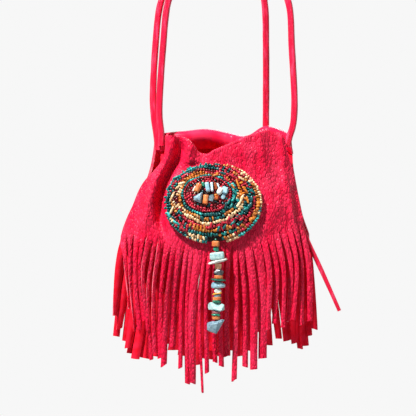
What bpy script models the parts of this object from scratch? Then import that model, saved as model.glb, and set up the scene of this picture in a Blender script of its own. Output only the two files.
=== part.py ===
"""Fringed leather drawstring pouch with a beaded medallion and a strung dangle.

All lengths below are millimetres, and the pieces are turned into metres as they are made.
+X runs to the right of the pouch's front, -Y faces the viewer and +Z is up.
The origin is the point where the doubled strap hangs from its peg.
"""

import math
from dataclasses import dataclass

import bmesh
import bpy
from mathutils import Euler, Matrix, Vector

MM = 0.001
SHARP_ANGLE = math.radians(40.0)
SLOPE_STEP = 0.01

# Leather, lining and running clearances.
LEATHER = 1.2
LINING = 0.8
CLEAR = 0.3
SIDE_THONG = 3.0
SEAM_OFFSET = LEATHER + CLEAR + SIDE_THONG / 2
PUFF_POWER = 2.2
PUFF_ROUNDNESS = 0.8

# Panel outlines: (height, x), from the fringe up to the rim.
FRONT_LEFT = ((-191.8, -67.0), (-183.3, -65.6), (-174.2, -62.4), (-165.8, -58.5), (-156.0, -54.5),
              (-149.5, -50.5), (-143.5, -44.8), (-137.5, -39.8), (-131.0, -37.4), (-119.6, -37.0))
FRONT_RIGHT = ((-185.3, 54.6), (-172.3, 52.7), (-162.5, 50.7), (-152.8, 48.8), (-141.7, 46.2),
               (-130.0, 42.9), (-120.9, 40.3), (-117.0, 35.8), (-115.0, 29.9))
BACK_LEFT = ((-192.0, -68.6), (-184.0, -66.0), (-175.0, -62.2), (-166.0, -58.0), (-156.0, -53.0),
             (-142.0, -48.3), (-132.0, -46.5), (-123.0, -45.5), (-114.0, -45.0))
BACK_RIGHT = ((-190.0, 59.5), (-182.0, 56.8), (-173.0, 53.6), (-163.0, 51.4), (-153.0, 49.4),
              (-140.0, 47.4), (-125.0, 46.8), (-120.0, 45.0), (-114.0, 41.0))

# Distance of each panel's edges from the middle plane, and the bulge added to it: (height, depth).
FRONT_GAPE = ((-150.0, SEAM_OFFSET), (-140.0, 4.2), (-132.0, 6.0), (-125.0, 7.0))
BACK_GAPE = ((-152.0, SEAM_OFFSET), (-145.0, 4.2), (-136.0, 8.4), (-126.0, 12.4))
FRONT_BULGE = ((-180.0, 14.5), (-165.0, 13.5), (-150.0, 11.0), (-137.0, 7.5), (-125.0, 5.0))
BACK_BULGE = ((-180.0, 9.5), (-165.0, 8.5), (-150.0, 6.5), (-137.0, 4.0), (-125.0, 2.0))

# Top edges: (share of the width, height).
FRONT_LIP = ((0.0, -119.6), (0.10, -120.3), (0.19, -122.9), (0.238, -126.8), (0.276, -131.0),
             (0.345, -132.3), (0.397, -129.8), (0.514, -126.1), (0.638, -121.8), (0.765, -119.0),
             (0.9, -116.5), (1.0, -116.5))
BACK_RIM = ((0.0, -122.0), (0.07, -118.6), (0.25, -116.3), (0.41, -115.2), (0.56, -118.0),
            (0.67, -119.7), (0.80, -114.2), (0.86, -113.2), (0.94, -115.6), (1.0, -119.0))

# Broad folds of the front panel: start x, z, end x, z, height and width.
FRONT_FOLDS = ((-37.5, -119.0, -33.0, -136.5, 1.8, 5.0), (-33.0, -136.5, -38.0, -158.0, 1.4, 5.0),
               (-29.5, -127.0, -29.5, -146.0, -2.0, 3.5), (-20.5, -127.0, -22.0, -142.0, 1.6, 5.0),
               (32.0, -120.0, 35.0, -138.0, -2.0, 5.5), (28.0, -128.0, 33.0, -160.0, 0.9, 2.6),
               (42.5, -156.0, 46.5, -174.0, 0.9, 2.4))

# Folds fade out under the medallion, from this share of its oval over this much more.
FOLD_FADE_START = 1.12
FOLD_FADE = 0.25

# Lip and casing. The casing is rolled round the drawstring.
LACE = 4.4
LIP_ROLL = LEATHER + 0.35
LIP_HEM = 8.0
CASING_EASE = 0.8
CASING_ROLL = LEATHER + CASING_EASE + LACE / 2
CASING_HEM = 8.0
ROLL_STEPS = 4
HEM_STEPS = 2
BODY_ROWS = 9

# Fringe. Front slits: (x, height of the slit's top); the first and last are the panel's edges.
FRONT_SLITS = ((-66.9, -190.0), (-61.8, -184.0), (-57.2, -181.4), (-52.7, -184.0), (-48.1, -182.0),
               (-44.5, -185.3), (-41.0, -185.3), (-37.1, -186.6), (-32.5, -188.5), (-28.6, -187.4),
               (-23.7, -188.0), (-20.6, -188.4), (-16.9, -188.0), (-11.4, -187.4), (-8.6, -189.0),
               (-5.2, -188.5), (-1.3, -189.0), (2.6, -188.0), (6.7, -188.5), (9.8, -189.2),
               (13.7, -187.2), (18.9, -187.4), (24.9, -186.6), (28.9, -185.3), (33.0, -184.0),
               (36.7, -180.7), (41.0, -179.4), (44.5, -176.2), (48.4, -173.6), (54.2, -180.0))
# One row for each front strip: x half-way down, x of its tip and height of its tip.
FRONT_STRIPS = ((-62.9, -62.2, -233.0), (-59.9, -58.0, -248.0), (-56.6, -53.8, -247.0),
                (-53.4, -50.6, -241.0), (-50.2, -47.4, -242.0), (-46.6, -44.4, -266.5),
                (-42.6, -41.4, -260.0), (-38.4, -38.4, -265.0), (-34.2, -35.2, -270.0),
                (-30.2, -31.0, -258.0), (-26.3, -27.2, -271.5), (-22.8, -23.6, -282.0),
                (-18.9, -19.4, -280.8), (-13.9, -13.9, -286.6), (-9.8, -9.6, -274.3),
                (-5.2, -5.2, -266.5), (-0.7, -0.8, -270.4), (4.2, 3.6, -263.3),
                (9.0, 8.2, -279.5), (14.2, 15.6, -270.4), (20.0, 20.8, -271.7),
                (26.2, 26.8, -264.6), (31.2, 31.2, -238.0), (35.0, 35.2, -247.0),
                (38.9, 39.2, -244.4), (43.0, 43.3, -242.5), (46.8, 47.0, -240.5),
                (50.6, 51.2, -243.1), (55.4, 56.0, -238.6))
BACK_STRIP_TIPS = (-242.0, -249.0, -254.0, -259.0, -266.0, -267.0, -263.0, -262.0, -258.0, -257.0,
                   -262.0, -268.0, -272.0, -270.0, -266.0, -262.0, -266.0, -270.0, -262.0, -257.0,
                   -254.0, -259.0, -261.0, -262.0, -255.0, -248.0)
BACK_SLIT_HEIGHT = -186.0
BACK_SLIT_STAGGER = 1.6
BACK_SLIT_TURN = 2.1
BACK_FRINGE_SPREAD = 1.05
STRIP_ROWS = 5
STRIP_SLIT = 0.35
STRIP_DRAPE = 0.22
STRIP_MIDDLE = 0.42

# Inner pouch, between the panels.
POUCH_TOP = -149.0
POUCH_TURN = -184.0
POUCH_BOTTOM = -202.0
POUCH_SIDE_INSET = 4.0
POUCH_EASE = 0.45
POUCH_ROWS = 4
POUCH_BOTTOM_ROWS = 4
POUCH_HALF_POINTS = 12
POUCH_BOTTOM_SWING = math.radians(74.0)

# Laces: the route points are (x, y, z).
STRAP_OUTER_ROUTE = ((-41.9, 1.3, -129.5), (-43.2, 1.3, -118.3), (-44.7, 1.3, -107.3),
                     (-45.3, 1.3, -92.3), (-43.8, 1.3, -62.4), (-40.6, 1.6, -34.0),
                     (-32.5, 2.2, -17.0), (-18.0, 2.6, -5.6), (0.0, 2.7, -2.2), (20.0, 2.6, -5.6),
                     (36.0, 2.2, -17.0), (44.3, 1.6, -34.0), (46.1, 0.8, -62.4),
                     (47.7, 0.3, -92.3), (47.5, 0.0, -107.3), (46.4, 0.0, -115.0),
                     (44.4, 0.0, -121.0), (43.0, 0.0, -127.5))
STRAP_INNER_ROUTE = ((-39.6, -2.1, -127.0), (-39.85, -2.1, -118.3), (-41.0, -2.2, -107.3),
                     (-40.7, -2.2, -92.3), (-38.6, -2.3, -62.4), (-35.6, -2.6, -34.0),
                     (-28.0, -2.7, -17.0), (-15.0, -2.7, -5.6), (0.0, -2.7, -2.2),
                     (13.0, -2.6, -5.6), (23.5, -1.6, -17.0), (28.3, 0.6, -34.0),
                     (29.3, 6.0, -62.4), (29.6, 12.5, -92.3), (29.6, 16.2, -110.0),
                     (29.6, 16.9, -124.0))
SIDE_THONG_ROUTE = ((51.1, 0.0, -175.0), (52.4, 0.0, -179.3), (57.0, -0.2, -190.5),
                    (64.0, -0.4, -205.5), (71.0, -0.5, -221.0), (77.3, -0.4, -235.3))
DRAWSTRING_ENDS = (0.05, 0.95)
DRAWSTRING_STEPS = 30
LACE_STEP = 2.6
LACE_SIDES = 3

# Medallion: a domed oval with rows of beads. Ovals are (x, z, half width, half height).
MEDALLION_OVAL = (-5.9, -164.5, 31.7, 26.2)
CENTRE_OVAL = (-9.5, -158.5, 14.2, 10.4)
BACKING_SHARE = 0.95
BACKING_EDGE = 1.4
BACKING_RISE = 2.4
BACKING_RINGS = 4
BACKING_SIDES = 32
ROW_STEP = 0.19
ROW_FILL = 0.84
ROW_NECK = 0.62
ROW_SHOULDER = 0.55
BEAD_STEPS = 2
BORDER_NOTCH = math.radians(22.0)
# One line for each row: name, place counted from the centre, height, beads, colour.
BEAD_ROWS = (("bead_row_crimson", 0, 1.7, 22, (0.42, 0.02, 0.03)),
             ("bead_row_teal", 1, 1.6, 26, (0.02, 0.33, 0.31)),
             ("bead_row_ochre", 2, 1.7, 30, (0.68, 0.28, 0.10)),
             ("bead_row_mixed", 3, 1.6, 34, (0.38, 0.06, 0.05)),
             ("bead_row_cream", 4, 1.7, 38, (0.82, 0.68, 0.46)),
             ("bead_row_border", 5, 1.5, 42, (0.03, 0.36, 0.34)))

STONE_SEAT = 0.12
STONE_BEVEL = 0.22
STONE_SIDES = 12
STONE_RINGS = 7
PYRAMID_TIP = 0.12
# Centre stones: name, shape, x, z, width, height, thickness, tilt, colour.
CENTRE_STONES = (
    ("stone_pyramid", "pyramid", -15.6, -160.7, 6.2, 5.6, 4.2, 8, (0.36, 0.60, 0.68)),
    ("stone_tube_orange", "tube", -15.6, -154.6, 3.4, 5.2, 3.4, 24, (0.82, 0.22, 0.04)),
    ("stone_bead_green", "oval", -12.2, -152.3, 2.4, 2.6, 2.4, 0, (0.02, 0.30, 0.20)),
    ("stone_bar_blue", "block", -9.4, -154.0, 2.4, 5.2, 2.6, 4, (0.42, 0.66, 0.72)),
    ("stone_bar_blue_thin", "block", -6.6, -153.8, 1.9, 5.4, 2.4, -3, (0.42, 0.66, 0.72)),
    ("stone_sliver_amber", "block", -4.0, -154.0, 1.7, 4.6, 2.4, -8, (0.42, 0.15, 0.03)),
    ("stone_oval_white", "oval", -1.2, -156.4, 2.6, 4.6, 2.8, -30, (0.86, 0.87, 0.84)),
    ("stone_tube_orange_low", "tube", -10.6, -162.0, 3.0, 5.4, 3.0, 4, (0.82, 0.24, 0.05)),
    ("stone_bead_grey", "oval", -7.0, -160.6, 2.8, 3.4, 2.8, 0, (0.34, 0.46, 0.52)),
    ("stone_chip_amber", "block", -3.4, -161.4, 2.7, 3.2, 2.2, 10, (0.50, 0.19, 0.03)),
    ("stone_chip_blue", "block", 0.9, -160.2, 2.6, 2.8, 2.4, 28, (0.45, 0.68, 0.74)),
)

# Dangle: thread, then beads from the top. The last bead of a group is a ball that the next turns on.
DANGLE_PIVOT_HEIGHT = -188.1
DANGLE_CURVE = ((-247.0, -4.1), (-232.0, -3.8), (-219.5, -2.7), (-210.0, -2.3), (-202.5, -2.8),
                (-192.0, -4.1), (-188.1, -4.2))
DANGLE_TOP_BEAD_GAP = 1.1
THREAD = 0.8
THREAD_STEPS = 6
THREAD_SIDES = 2
BEAD_BORE = 1.8
BEAD_SIDES = 10
BEAD_CORNER = 0.22
BEAD_WALL = 0.4
BALL_STEPS = 4
WIDE_BEAD = 6.0
WIDE_BEAD_SIDES = 12
ANCHOR_BEAD = 1.6
ANCHOR_RINGS = 8
ANCHOR_GREEN = (0.02, 0.34, 0.24)
# name, width, depth, height, squareness (2 is round), taper to the bottom, tilt in degrees, colour
DANGLE_GROUPS = (
    ("dangle_top", (
        ("bead_orange_tube", 5.0, 5.0, 3.0, 2, 1.0, 0, (0.78, 0.26, 0.06)),
        ("bead_green_ball", 3.5, 3.5, 3.3, 0, 1.0, 0, (0.02, 0.30, 0.18)))),
    ("dangle_upper", (
        ("bead_aqua_block", 9.4, 6.0, 4.3, 5, 1.0, -8, (0.45, 0.72, 0.72)),
        ("bead_white_disc", 12.4, 7.6, 1.6, 2, 1.0, -12, (0.85, 0.87, 0.85)),
        ("bead_peach_ball", 3.6, 3.6, 3.2, 0, 1.0, 0, (0.88, 0.48, 0.27)))),
    ("dangle_middle", (
        ("bead_grey_chip", 5.8, 5.0, 3.5, 4, 0.8, 6, (0.06, 0.08, 0.09)),
        ("bead_orange_disc", 5.5, 5.5, 1.9, 2, 1.0, 4, (0.80, 0.24, 0.06)),
        ("bead_dark_green_ring", 9.4, 8.0, 1.2, 2, 1.0, 3, (0.01, 0.14, 0.09)),
        ("bead_blue_block", 9.6, 6.0, 3.6, 5, 1.0, -3, (0.38, 0.62, 0.72)),
        ("bead_white_ball", 4.1, 4.1, 3.7, 0, 1.0, 0, (0.85, 0.80, 0.62)))),
    ("dangle_lower", (
        ("bead_grey_blue_disc", 4.6, 4.6, 1.4, 2, 1.0, 0, (0.36, 0.50, 0.56)),
        ("bead_orange_disc_low", 5.5, 5.5, 1.8, 2, 1.0, 0, (0.80, 0.24, 0.06)),
        ("bead_green_disc", 5.4, 5.4, 1.3, 2, 1.0, 0, (0.02, 0.33, 0.20)),
        ("bead_aqua_nugget", 10.8, 7.2, 4.4, 3, 1.0, 5, (0.42, 0.66, 0.70)),
        ("bead_lilac_disc", 5.2, 5.2, 1.6, 2, 1.0, 0, (0.46, 0.16, 0.16)),
        ("bead_green_ring", 5.8, 5.8, 1.2, 2, 1.0, 0, (0.02, 0.34, 0.22)),
        ("bead_orange_tube_low", 5.0, 5.0, 1.9, 2, 1.0, 0, (0.80, 0.28, 0.08)),
        ("bead_blue_pyramid", 11.4, 8.4, 8.8, 4, 0.38, 0, (0.40, 0.62, 0.68)))),
)

LEATHER_RED = (0.62, 0.012, 0.035)
LEATHER_DARK = (0.36, 0.008, 0.02)
LACE_RED = (0.70, 0.015, 0.045)
THREAD_COLOUR = (0.05, 0.04, 0.04)
BACKING_COLOUR = (0.05, 0.05, 0.05)

# Roughness of each kind of surface.
LEATHER_SHINE = 0.45
LINING_SHINE = 0.6
LACE_SHINE = 0.4
THREAD_SHINE = 0.7
BACKING_SHINE = 0.8
GLASS_SHINE = 0.3
STONE_SHINE = 0.4


def clear_scene():
    for old in list(bpy.data.objects):
        bpy.data.objects.remove(old, do_unlink=True)


def material(name, colour, roughness):
    made = bpy.data.materials.new(name)
    made.use_nodes = True
    shader = made.node_tree.nodes["Principled BSDF"]
    shader.inputs["Base Color"].default_value = (*colour, 1.0)
    shader.inputs["Roughness"].default_value = roughness
    shader.inputs["Metallic"].default_value = 0.0
    return made


def smooth_value(points, where):
    """Value at `where` of a smooth curve through (place, value) points in rising order."""
    if where <= points[0][0]:
        return points[0][1]
    if where >= points[-1][0]:
        return points[-1][1]
    last = len(points) - 1
    k = next(i for i in range(last) if where <= points[i + 1][0])

    def slope(i):
        before, after = points[max(i - 1, 0)], points[min(i + 1, last)]
        return (after[1] - before[1]) / (after[0] - before[0])

    (start, low), (end, high) = points[k], points[k + 1]
    span = end - start
    t = (where - start) / span
    return ((2 * t ** 3 - 3 * t ** 2 + 1) * low + (t ** 3 - 2 * t ** 2 + t) * span * slope(k)
            + (3 * t ** 2 - 2 * t ** 3) * high + (t ** 3 - t ** 2) * span * slope(k + 1))


def ease(t):
    t = min(max(t, 0.0), 1.0)
    return t * t * (3.0 - 2.0 * t)


def build_object(name, bm, finish, smooth=True):
    """Turn a bmesh in millimetres into an object in metres, with its faces pointing out."""
    bmesh.ops.scale(bm, vec=(MM, MM, MM), verts=bm.verts)
    bmesh.ops.recalc_face_normals(bm, faces=bm.faces)
    mesh = bpy.data.meshes.new(name)
    bm.to_mesh(mesh)
    bm.free()
    mesh.materials.append(finish)
    made = bpy.data.objects.new(name, mesh)
    bpy.context.scene.collection.objects.link(made)
    if smooth:
        mesh.shade_smooth()
        mesh.set_sharp_from_angle(angle=SHARP_ANGLE)
    return made


def sweep(bm, sections, closed):
    """Skin a row of closed profiles; a row that isn't closed gets a cap at each end."""
    rings = [[bm.verts.new(point) for point in section] for section in sections]
    count = len(rings[0])
    pairs = list(zip(rings, rings[1:]))
    if closed:
        pairs.append((rings[-1], rings[0]))
    for ring, following in pairs:
        for k in range(count):
            nxt = (k + 1) % count
            bm.faces.new((ring[k], ring[nxt], following[nxt], following[k]))
    if not closed:
        bm.faces.new(rings[0])
        bm.faces.new(rings[-1])


@dataclass
class Panel:
    """One leather panel: its outline, its bulge and its fringe."""

    side: int
    left: tuple
    right: tuple
    gape: tuple
    bulge: tuple
    rim: tuple
    folds: tuple
    roll: float
    hem: float
    hem_gap: float
    rolled_slits: range

    def x(self, share, height):
        left = smooth_value(self.left, height)
        return left + share * (smooth_value(self.right, height) - left)

    def share(self, x, height):
        left = smooth_value(self.left, height)
        return (x - left) / (smooth_value(self.right, height) - left)

    def depth(self, share, height):
        """Distance of the smooth outer face from the middle plane."""
        across = min(abs(2.0 * share - 1.0), 1.0)
        puff = (1.0 - across ** PUFF_POWER) ** PUFF_ROUNDNESS
        return smooth_value(self.gape, height) + smooth_value(self.bulge, height) * puff

    def point(self, share, height):
        x = self.x(share, height)
        depth = self.depth(share, height) + fold_relief(self.folds, x, height)
        return Vector((x, self.side * depth, height))

    def outward(self, share, height):
        """Level direction out of the panel's face."""
        after = self.point(min(share + SLOPE_STEP, 1.0), height)
        before = self.point(max(share - SLOPE_STEP, 0.0), height)
        along = after - before
        along.z = 0.0
        along.normalize()
        return Vector((-along.y, along.x, 0.0)) * self.side


def fold_relief(folds, x, z):
    """Height of the broad folds, which fade out under the medallion."""
    total = 0.0
    for x0, z0, x1, z1, height, width in folds:
        run = Vector((x1 - x0, z1 - z0))
        along = Vector((x - x0, z - z0)).dot(run) / run.length_squared
        along = min(max(along, 0.0), 1.0)
        away = (Vector((x - x0, z - z0)) - run * along).length / width
        total += height * math.exp(-away * away)
    cx, cz, half_width, half_height = MEDALLION_OVAL
    reach = math.hypot((x - cx) / half_width, (z - cz) / half_height)
    return total * ease((reach - FOLD_FADE_START) / FOLD_FADE)


def front_panel_shape():
    return Panel(-1, FRONT_LEFT, FRONT_RIGHT, FRONT_GAPE, FRONT_BULGE, FRONT_LIP, FRONT_FOLDS,
                 LIP_ROLL, LIP_HEM, 2 * LIP_ROLL, range(3, len(FRONT_SLITS) - 2))


def back_panel_shape():
    return Panel(1, BACK_LEFT, BACK_RIGHT, BACK_GAPE, BACK_BULGE, BACK_RIM, (),
                 CASING_ROLL, CASING_HEM, 2 * LEATHER + CLEAR, range(len(BACK_STRIP_TIPS) + 1))


def edge_column(panel, share, slit_top, rolled):
    """Points of one column, from the hem inside, over the rolled edge, down to the slit's top."""
    rim = smooth_value(panel.rim, share)
    shoulder = rim - panel.roll
    start = panel.point(share, shoulder)
    inward = -panel.outward(share, shoulder)
    inner = start + inward * (2 * panel.roll)
    points = []
    if rolled:
        for step in range(HEM_STEPS, 0, -1):
            part = step / HEM_STEPS
            down = panel.hem * part
            wall = panel.point(share, shoulder - down)
            reach = 2 * panel.roll + (panel.hem_gap - 2 * panel.roll) * part ** 2
            points.append(wall + inward * reach)
        points.append(inner)
        for step in range(1, ROLL_STEPS):
            angle = math.pi * (1.0 - step / ROLL_STEPS)
            lift = Vector((0.0, 0.0, panel.roll * math.sin(angle)))
            points.append(start + inward * (panel.roll * (1.0 - math.cos(angle))) + lift)
    body = []
    for row in range(BODY_ROWS + 1):
        body.append(panel.point(share, shoulder + (slit_top - shoulder) * row / BODY_ROWS))
    return points, body


def strip_centre(root, middle, tip, t):
    """Sideways place of a strip's centre, from its root (0) to its tip (1)."""
    return smooth_value(((0.0, root), (STRIP_MIDDLE, middle), (1.0, tip)), t)


def add_fringe(bm, panel, roots, slits, strips):
    """Strips that hang from the row of slit tops."""
    centres = [[0.5 * (slits[k][0] + slits[k + 1][0])] + list(strip[:2])
               for k, strip in enumerate(strips)]
    for k, (_, _, tip_height) in enumerate(strips):
        row = (roots[k], roots[k + 1])
        for step in range(1, STRIP_ROWS + 1):
            t = step / STRIP_ROWS
            centre = strip_centre(*centres[k], t)
            half = 0.5 * (slits[k + 1][0] - slits[k][0])
            for other in (k - 1, k + 1):
                if 0 <= other < len(strips):
                    half = min(half, 0.5 * abs(strip_centre(*centres[other], t) - centre))
            half -= STRIP_SLIT / 2
            new_row = []
            for root, way in ((roots[k], -1), (roots[k + 1], 1)):
                bulge = abs(root.co.y) - SEAM_OFFSET
                depth = SEAM_OFFSET + bulge * (1.0 - STRIP_DRAPE * ease(t))
                height = root.co.z + (tip_height - root.co.z) * t
                new_row.append(bm.verts.new((centre + way * half, panel.side * depth, height)))
            bm.faces.new((row[0], row[1], new_row[1], new_row[0]))
            row = new_row


def build_panel(name, panel, slits, strips, finish):
    """The whole panel as one sheet, thickened towards the inside of the pouch."""
    bm = bmesh.new()
    columns = []
    for k, (x, slit_top) in enumerate(slits):
        share = min(max(panel.share(x, slit_top), 0.0), 1.0)
        rolled = k in panel.rolled_slits
        over, body = edge_column(panel, share, slit_top, rolled)
        columns.append(([bm.verts.new(p) for p in over], [bm.verts.new(p) for p in body]))
    for (over, body), (next_over, next_body) in zip(columns, columns[1:]):
        left, right = list(body), list(next_body)
        if over and next_over:
            left, right = over + left, next_over + right
        for row in range(len(left) - 1):
            bm.faces.new((left[row], right[row], right[row + 1], left[row + 1]))
    add_fringe(bm, panel, [body[-1] for _, body in columns], slits, strips)
    made = build_object(name, bm, finish)
    if made.data.polygons[len(made.data.polygons) // 2].normal.y * panel.side < 0:
        made.data.flip_normals()
    thickness = made.modifiers.new("leather thickness", "SOLIDIFY")
    thickness.thickness = LEATHER * MM
    thickness.offset = -1.0
    return made


def back_fringe(panel):
    """Evenly cut slits and the strips between them."""
    count = len(BACK_STRIP_TIPS)
    slits = []
    for k in range(count + 1):
        height = BACK_SLIT_HEIGHT + BACK_SLIT_STAGGER * math.sin(BACK_SLIT_TURN * k)
        slits.append((panel.x(k / count, height), height))
    middle = 0.5 * (slits[0][0] + slits[-1][0])
    strips = []
    for k, tip_height in enumerate(BACK_STRIP_TIPS):
        root = 0.5 * (slits[k][0] + slits[k + 1][0])
        spread = middle + (root - middle) * BACK_FRINGE_SPREAD
        strips.append((0.5 * (root + spread), spread, tip_height))
    return slits, strips


def build_inner_pouch(front, back, finish):
    """A closed bag that follows the panels at a small distance, open at the top."""
    heights = [POUCH_TOP + (POUCH_TURN - POUCH_TOP) * k / POUCH_ROWS for k in range(POUCH_ROWS)]
    levels = [(height, 1.0) for height in heights]
    for step in range(POUCH_BOTTOM_ROWS + 1):
        swing = POUCH_BOTTOM_SWING * step / POUCH_BOTTOM_ROWS
        levels.append((POUCH_TURN + (POUCH_BOTTOM - POUCH_TURN) * math.sin(swing), math.cos(swing)))
    bm = bmesh.new()
    rings = []
    for height, fullness in levels:
        left = max(smooth_value(front.left, height), smooth_value(back.left, height))
        right = min(smooth_value(front.right, height), smooth_value(back.right, height))
        left += POUCH_SIDE_INSET * (2.0 - fullness)
        right -= POUCH_SIDE_INSET * (2.0 - fullness)
        ring = []
        for panel in (front, back):
            for k in range(POUCH_HALF_POINTS):
                turn = math.pi * k / POUCH_HALF_POINTS
                across = -math.cos(turn) * -panel.side
                puff = (1.0 - abs(across) ** PUFF_POWER) ** PUFF_ROUNDNESS
                room = smooth_value(panel.bulge, height) + SEAM_OFFSET - LEATHER - POUCH_EASE
                x = 0.5 * (left + right) + 0.5 * (right - left) * across
                ring.append(bm.verts.new((x, panel.side * room * puff * fullness, height)))
        rings.append(ring)
    for ring, lower in zip(rings, rings[1:]):
        for k in range(len(ring)):
            nxt = (k + 1) % len(ring)
            bm.faces.new((ring[k], ring[nxt], lower[nxt], lower[k]))
    half = POUCH_HALF_POINTS
    bottom = rings[-1]
    bm.faces.new((bottom[0], bottom[1], bottom[-1]))
    for k in range(1, half):
        bm.faces.new((bottom[k], bottom[k + 1], bottom[-k - 1], bottom[-k]) if k + 1 < half
                     else (bottom[k], bottom[half], bottom[-k]))
    made = build_object("inner_pouch", bm, finish)
    thickness = made.modifiers.new("lining thickness", "SOLIDIFY")
    thickness.thickness = LINING * MM
    thickness.offset = -1.0
    return made


def smooth_route(route, step):
    """Points about `step` apart on a smooth curve through the route's own points."""
    knots = [Vector(point) for point in route]
    knots = [2 * knots[0] - knots[1]] + knots + [2 * knots[-1] - knots[-2]]
    points = []
    for before, start, end, after in zip(knots, knots[1:], knots[2:], knots[3:]):
        pieces = max(1, round((end - start).length / step))
        for k in range(pieces):
            t = k / pieces
            points.append(0.5 * (2 * start + (end - before) * t
                                 + (2 * before - 5 * start + 4 * end - after) * t ** 2
                                 + (3 * start - before - 3 * end + after) * t ** 3))
    points.append(knots[-2])
    return points


def build_lace(name, points, diameter, sides, finish):
    curve = bpy.data.curves.new(name, "CURVE")
    curve.dimensions = "3D"
    curve.bevel_depth = 0.5 * diameter * MM
    curve.bevel_resolution = sides - 1
    curve.use_fill_caps = True
    spline = curve.splines.new("POLY")
    spline.points.add(len(points) - 1)
    for node, point in zip(spline.points, points):
        node.co = (*(point * MM), 1.0)
    curve.materials.append(finish)
    made = bpy.data.objects.new(name, curve)
    bpy.context.scene.collection.objects.link(made)
    return made


def build_drawstring(back, finish):
    """The lace inside the casing, along the centre of the roll."""
    first, last = DRAWSTRING_ENDS
    points = []
    for k in range(DRAWSTRING_STEPS + 1):
        share = first + (last - first) * k / DRAWSTRING_STEPS
        shoulder = smooth_value(back.rim, share) - back.roll
        points.append(back.point(share, shoulder) - back.outward(share, shoulder) * back.roll)
    return build_lace("drawstring", points, LACE, LACE_SIDES, finish)


def backing_height(x, z):
    """Thickness of the domed backing at a place on the medallion."""
    cx, cz, half_width, half_height = MEDALLION_OVAL
    reach = math.hypot((x - cx) / half_width, (z - cz) / half_height)
    return BACKING_EDGE + BACKING_RISE * (1.0 - min(reach, 1.0) ** 2)


def on_front(front, x, z, lift):
    """A point that stands `lift` in front of the front panel's smooth face."""
    return Vector((x, -front.depth(front.share(x, z), z) - lift, z))


def oval_point(oval, angle, share=1.0):
    cx, cz, half_width, half_height = oval
    return cx + half_width * share * math.cos(angle), cz + half_height * share * math.sin(angle)


def build_backing(front, finish):
    bm = bmesh.new()
    faces = {}
    for layer in ("under", "top"):
        centre_x, centre_z = MEDALLION_OVAL[:2]
        rings = [[(centre_x, centre_z)]]
        for ring in range(1, BACKING_RINGS + 1):
            share = BACKING_SHARE * ring / BACKING_RINGS
            rings.append([oval_point(MEDALLION_OVAL, 2 * math.pi * k / BACKING_SIDES, share)
                          for k in range(BACKING_SIDES)])
        faces[layer] = []
        for places in rings:
            verts = []
            for x, z in places:
                lift = CLEAR + (backing_height(x, z) if layer == "top" else 0.0)
                verts.append(bm.verts.new(on_front(front, x, z, lift)))
            faces[layer].append(verts)
    for rings in faces.values():
        for k in range(BACKING_SIDES):
            nxt = (k + 1) % BACKING_SIDES
            bm.faces.new((rings[0][0], rings[1][k], rings[1][nxt]))
            for ring, outer in zip(rings[1:], rings[2:]):
                bm.faces.new((ring[k], outer[k], outer[nxt], ring[nxt]))
    for k in range(BACKING_SIDES):
        nxt = (k + 1) % BACKING_SIDES
        under, top = faces["under"][-1], faces["top"][-1]
        bm.faces.new((under[k], under[nxt], top[nxt], top[k]))
    return build_object("medallion_backing", bm, finish)


def row_oval(share):
    return tuple(inner + (outer - inner) * share for inner, outer in zip(CENTRE_OVAL, MEDALLION_OVAL))


def build_bead_row(front, name, place, height, beads, finish):
    """A row of beads sewn side by side, as one ridge with a swelling for each bead."""
    notched = place == len(BEAD_ROWS) - 1
    count = beads * BEAD_STEPS
    sections = []
    for k in range(count + (1 if notched else 0)):
        turn = k / count
        if notched:
            angle = -0.5 * math.pi + BORDER_NOTCH / 2 + (2 * math.pi - BORDER_NOTCH) * turn
        else:
            angle = -0.5 * math.pi + 2 * math.pi * turn
        size = 1.0 if k % BEAD_STEPS else ROW_NECK
        half = 0.5 * ROW_FILL
        top = half * size * ROW_SHOULDER
        profile = ((-half * size, 0.0), (-top, height * size), (top, height * size), (half * size, 0.0))
        section = []
        for away, lift in profile:
            x, z = oval_point(row_oval((place + away) * ROW_STEP), angle)
            section.append(on_front(front, x, z, 2 * CLEAR + backing_height(x, z) + lift))
        sections.append(section)
    bm = bmesh.new()
    sweep(bm, sections, closed=not notched)
    return build_object(name, bm, finish)


def stone_mesh(shape, width, height, thickness):
    bm = bmesh.new()
    if shape == "tube":
        bmesh.ops.create_cone(bm, cap_ends=True, segments=STONE_SIDES, radius1=width / 2,
                              radius2=width / 2, depth=height)
    elif shape == "oval":
        bmesh.ops.create_uvsphere(bm, u_segments=STONE_SIDES, v_segments=STONE_RINGS, radius=0.5)
        bmesh.ops.scale(bm, vec=(width, thickness, height), verts=bm.verts)
    elif shape == "pyramid":
        bmesh.ops.create_cone(bm, cap_ends=True, segments=4, radius1=width / math.sqrt(2),
                              radius2=width * PYRAMID_TIP, depth=thickness)
        bmesh.ops.rotate(bm, matrix=Euler((0.0, 0.0, math.pi / 4)).to_matrix(), verts=bm.verts)
        bmesh.ops.rotate(bm, matrix=Euler((math.pi / 2, 0.0, 0.0)).to_matrix(), verts=bm.verts)
        bmesh.ops.scale(bm, vec=(1.0, 1.0, height / width), verts=bm.verts)
    else:
        bmesh.ops.create_cube(bm, size=1.0)
        bmesh.ops.scale(bm, vec=(width, thickness, height), verts=bm.verts)
        bmesh.ops.bevel(bm, geom=bm.edges, offset=STONE_BEVEL * min(width, thickness),
                        segments=1, affect="EDGES")
    return bm


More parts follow.
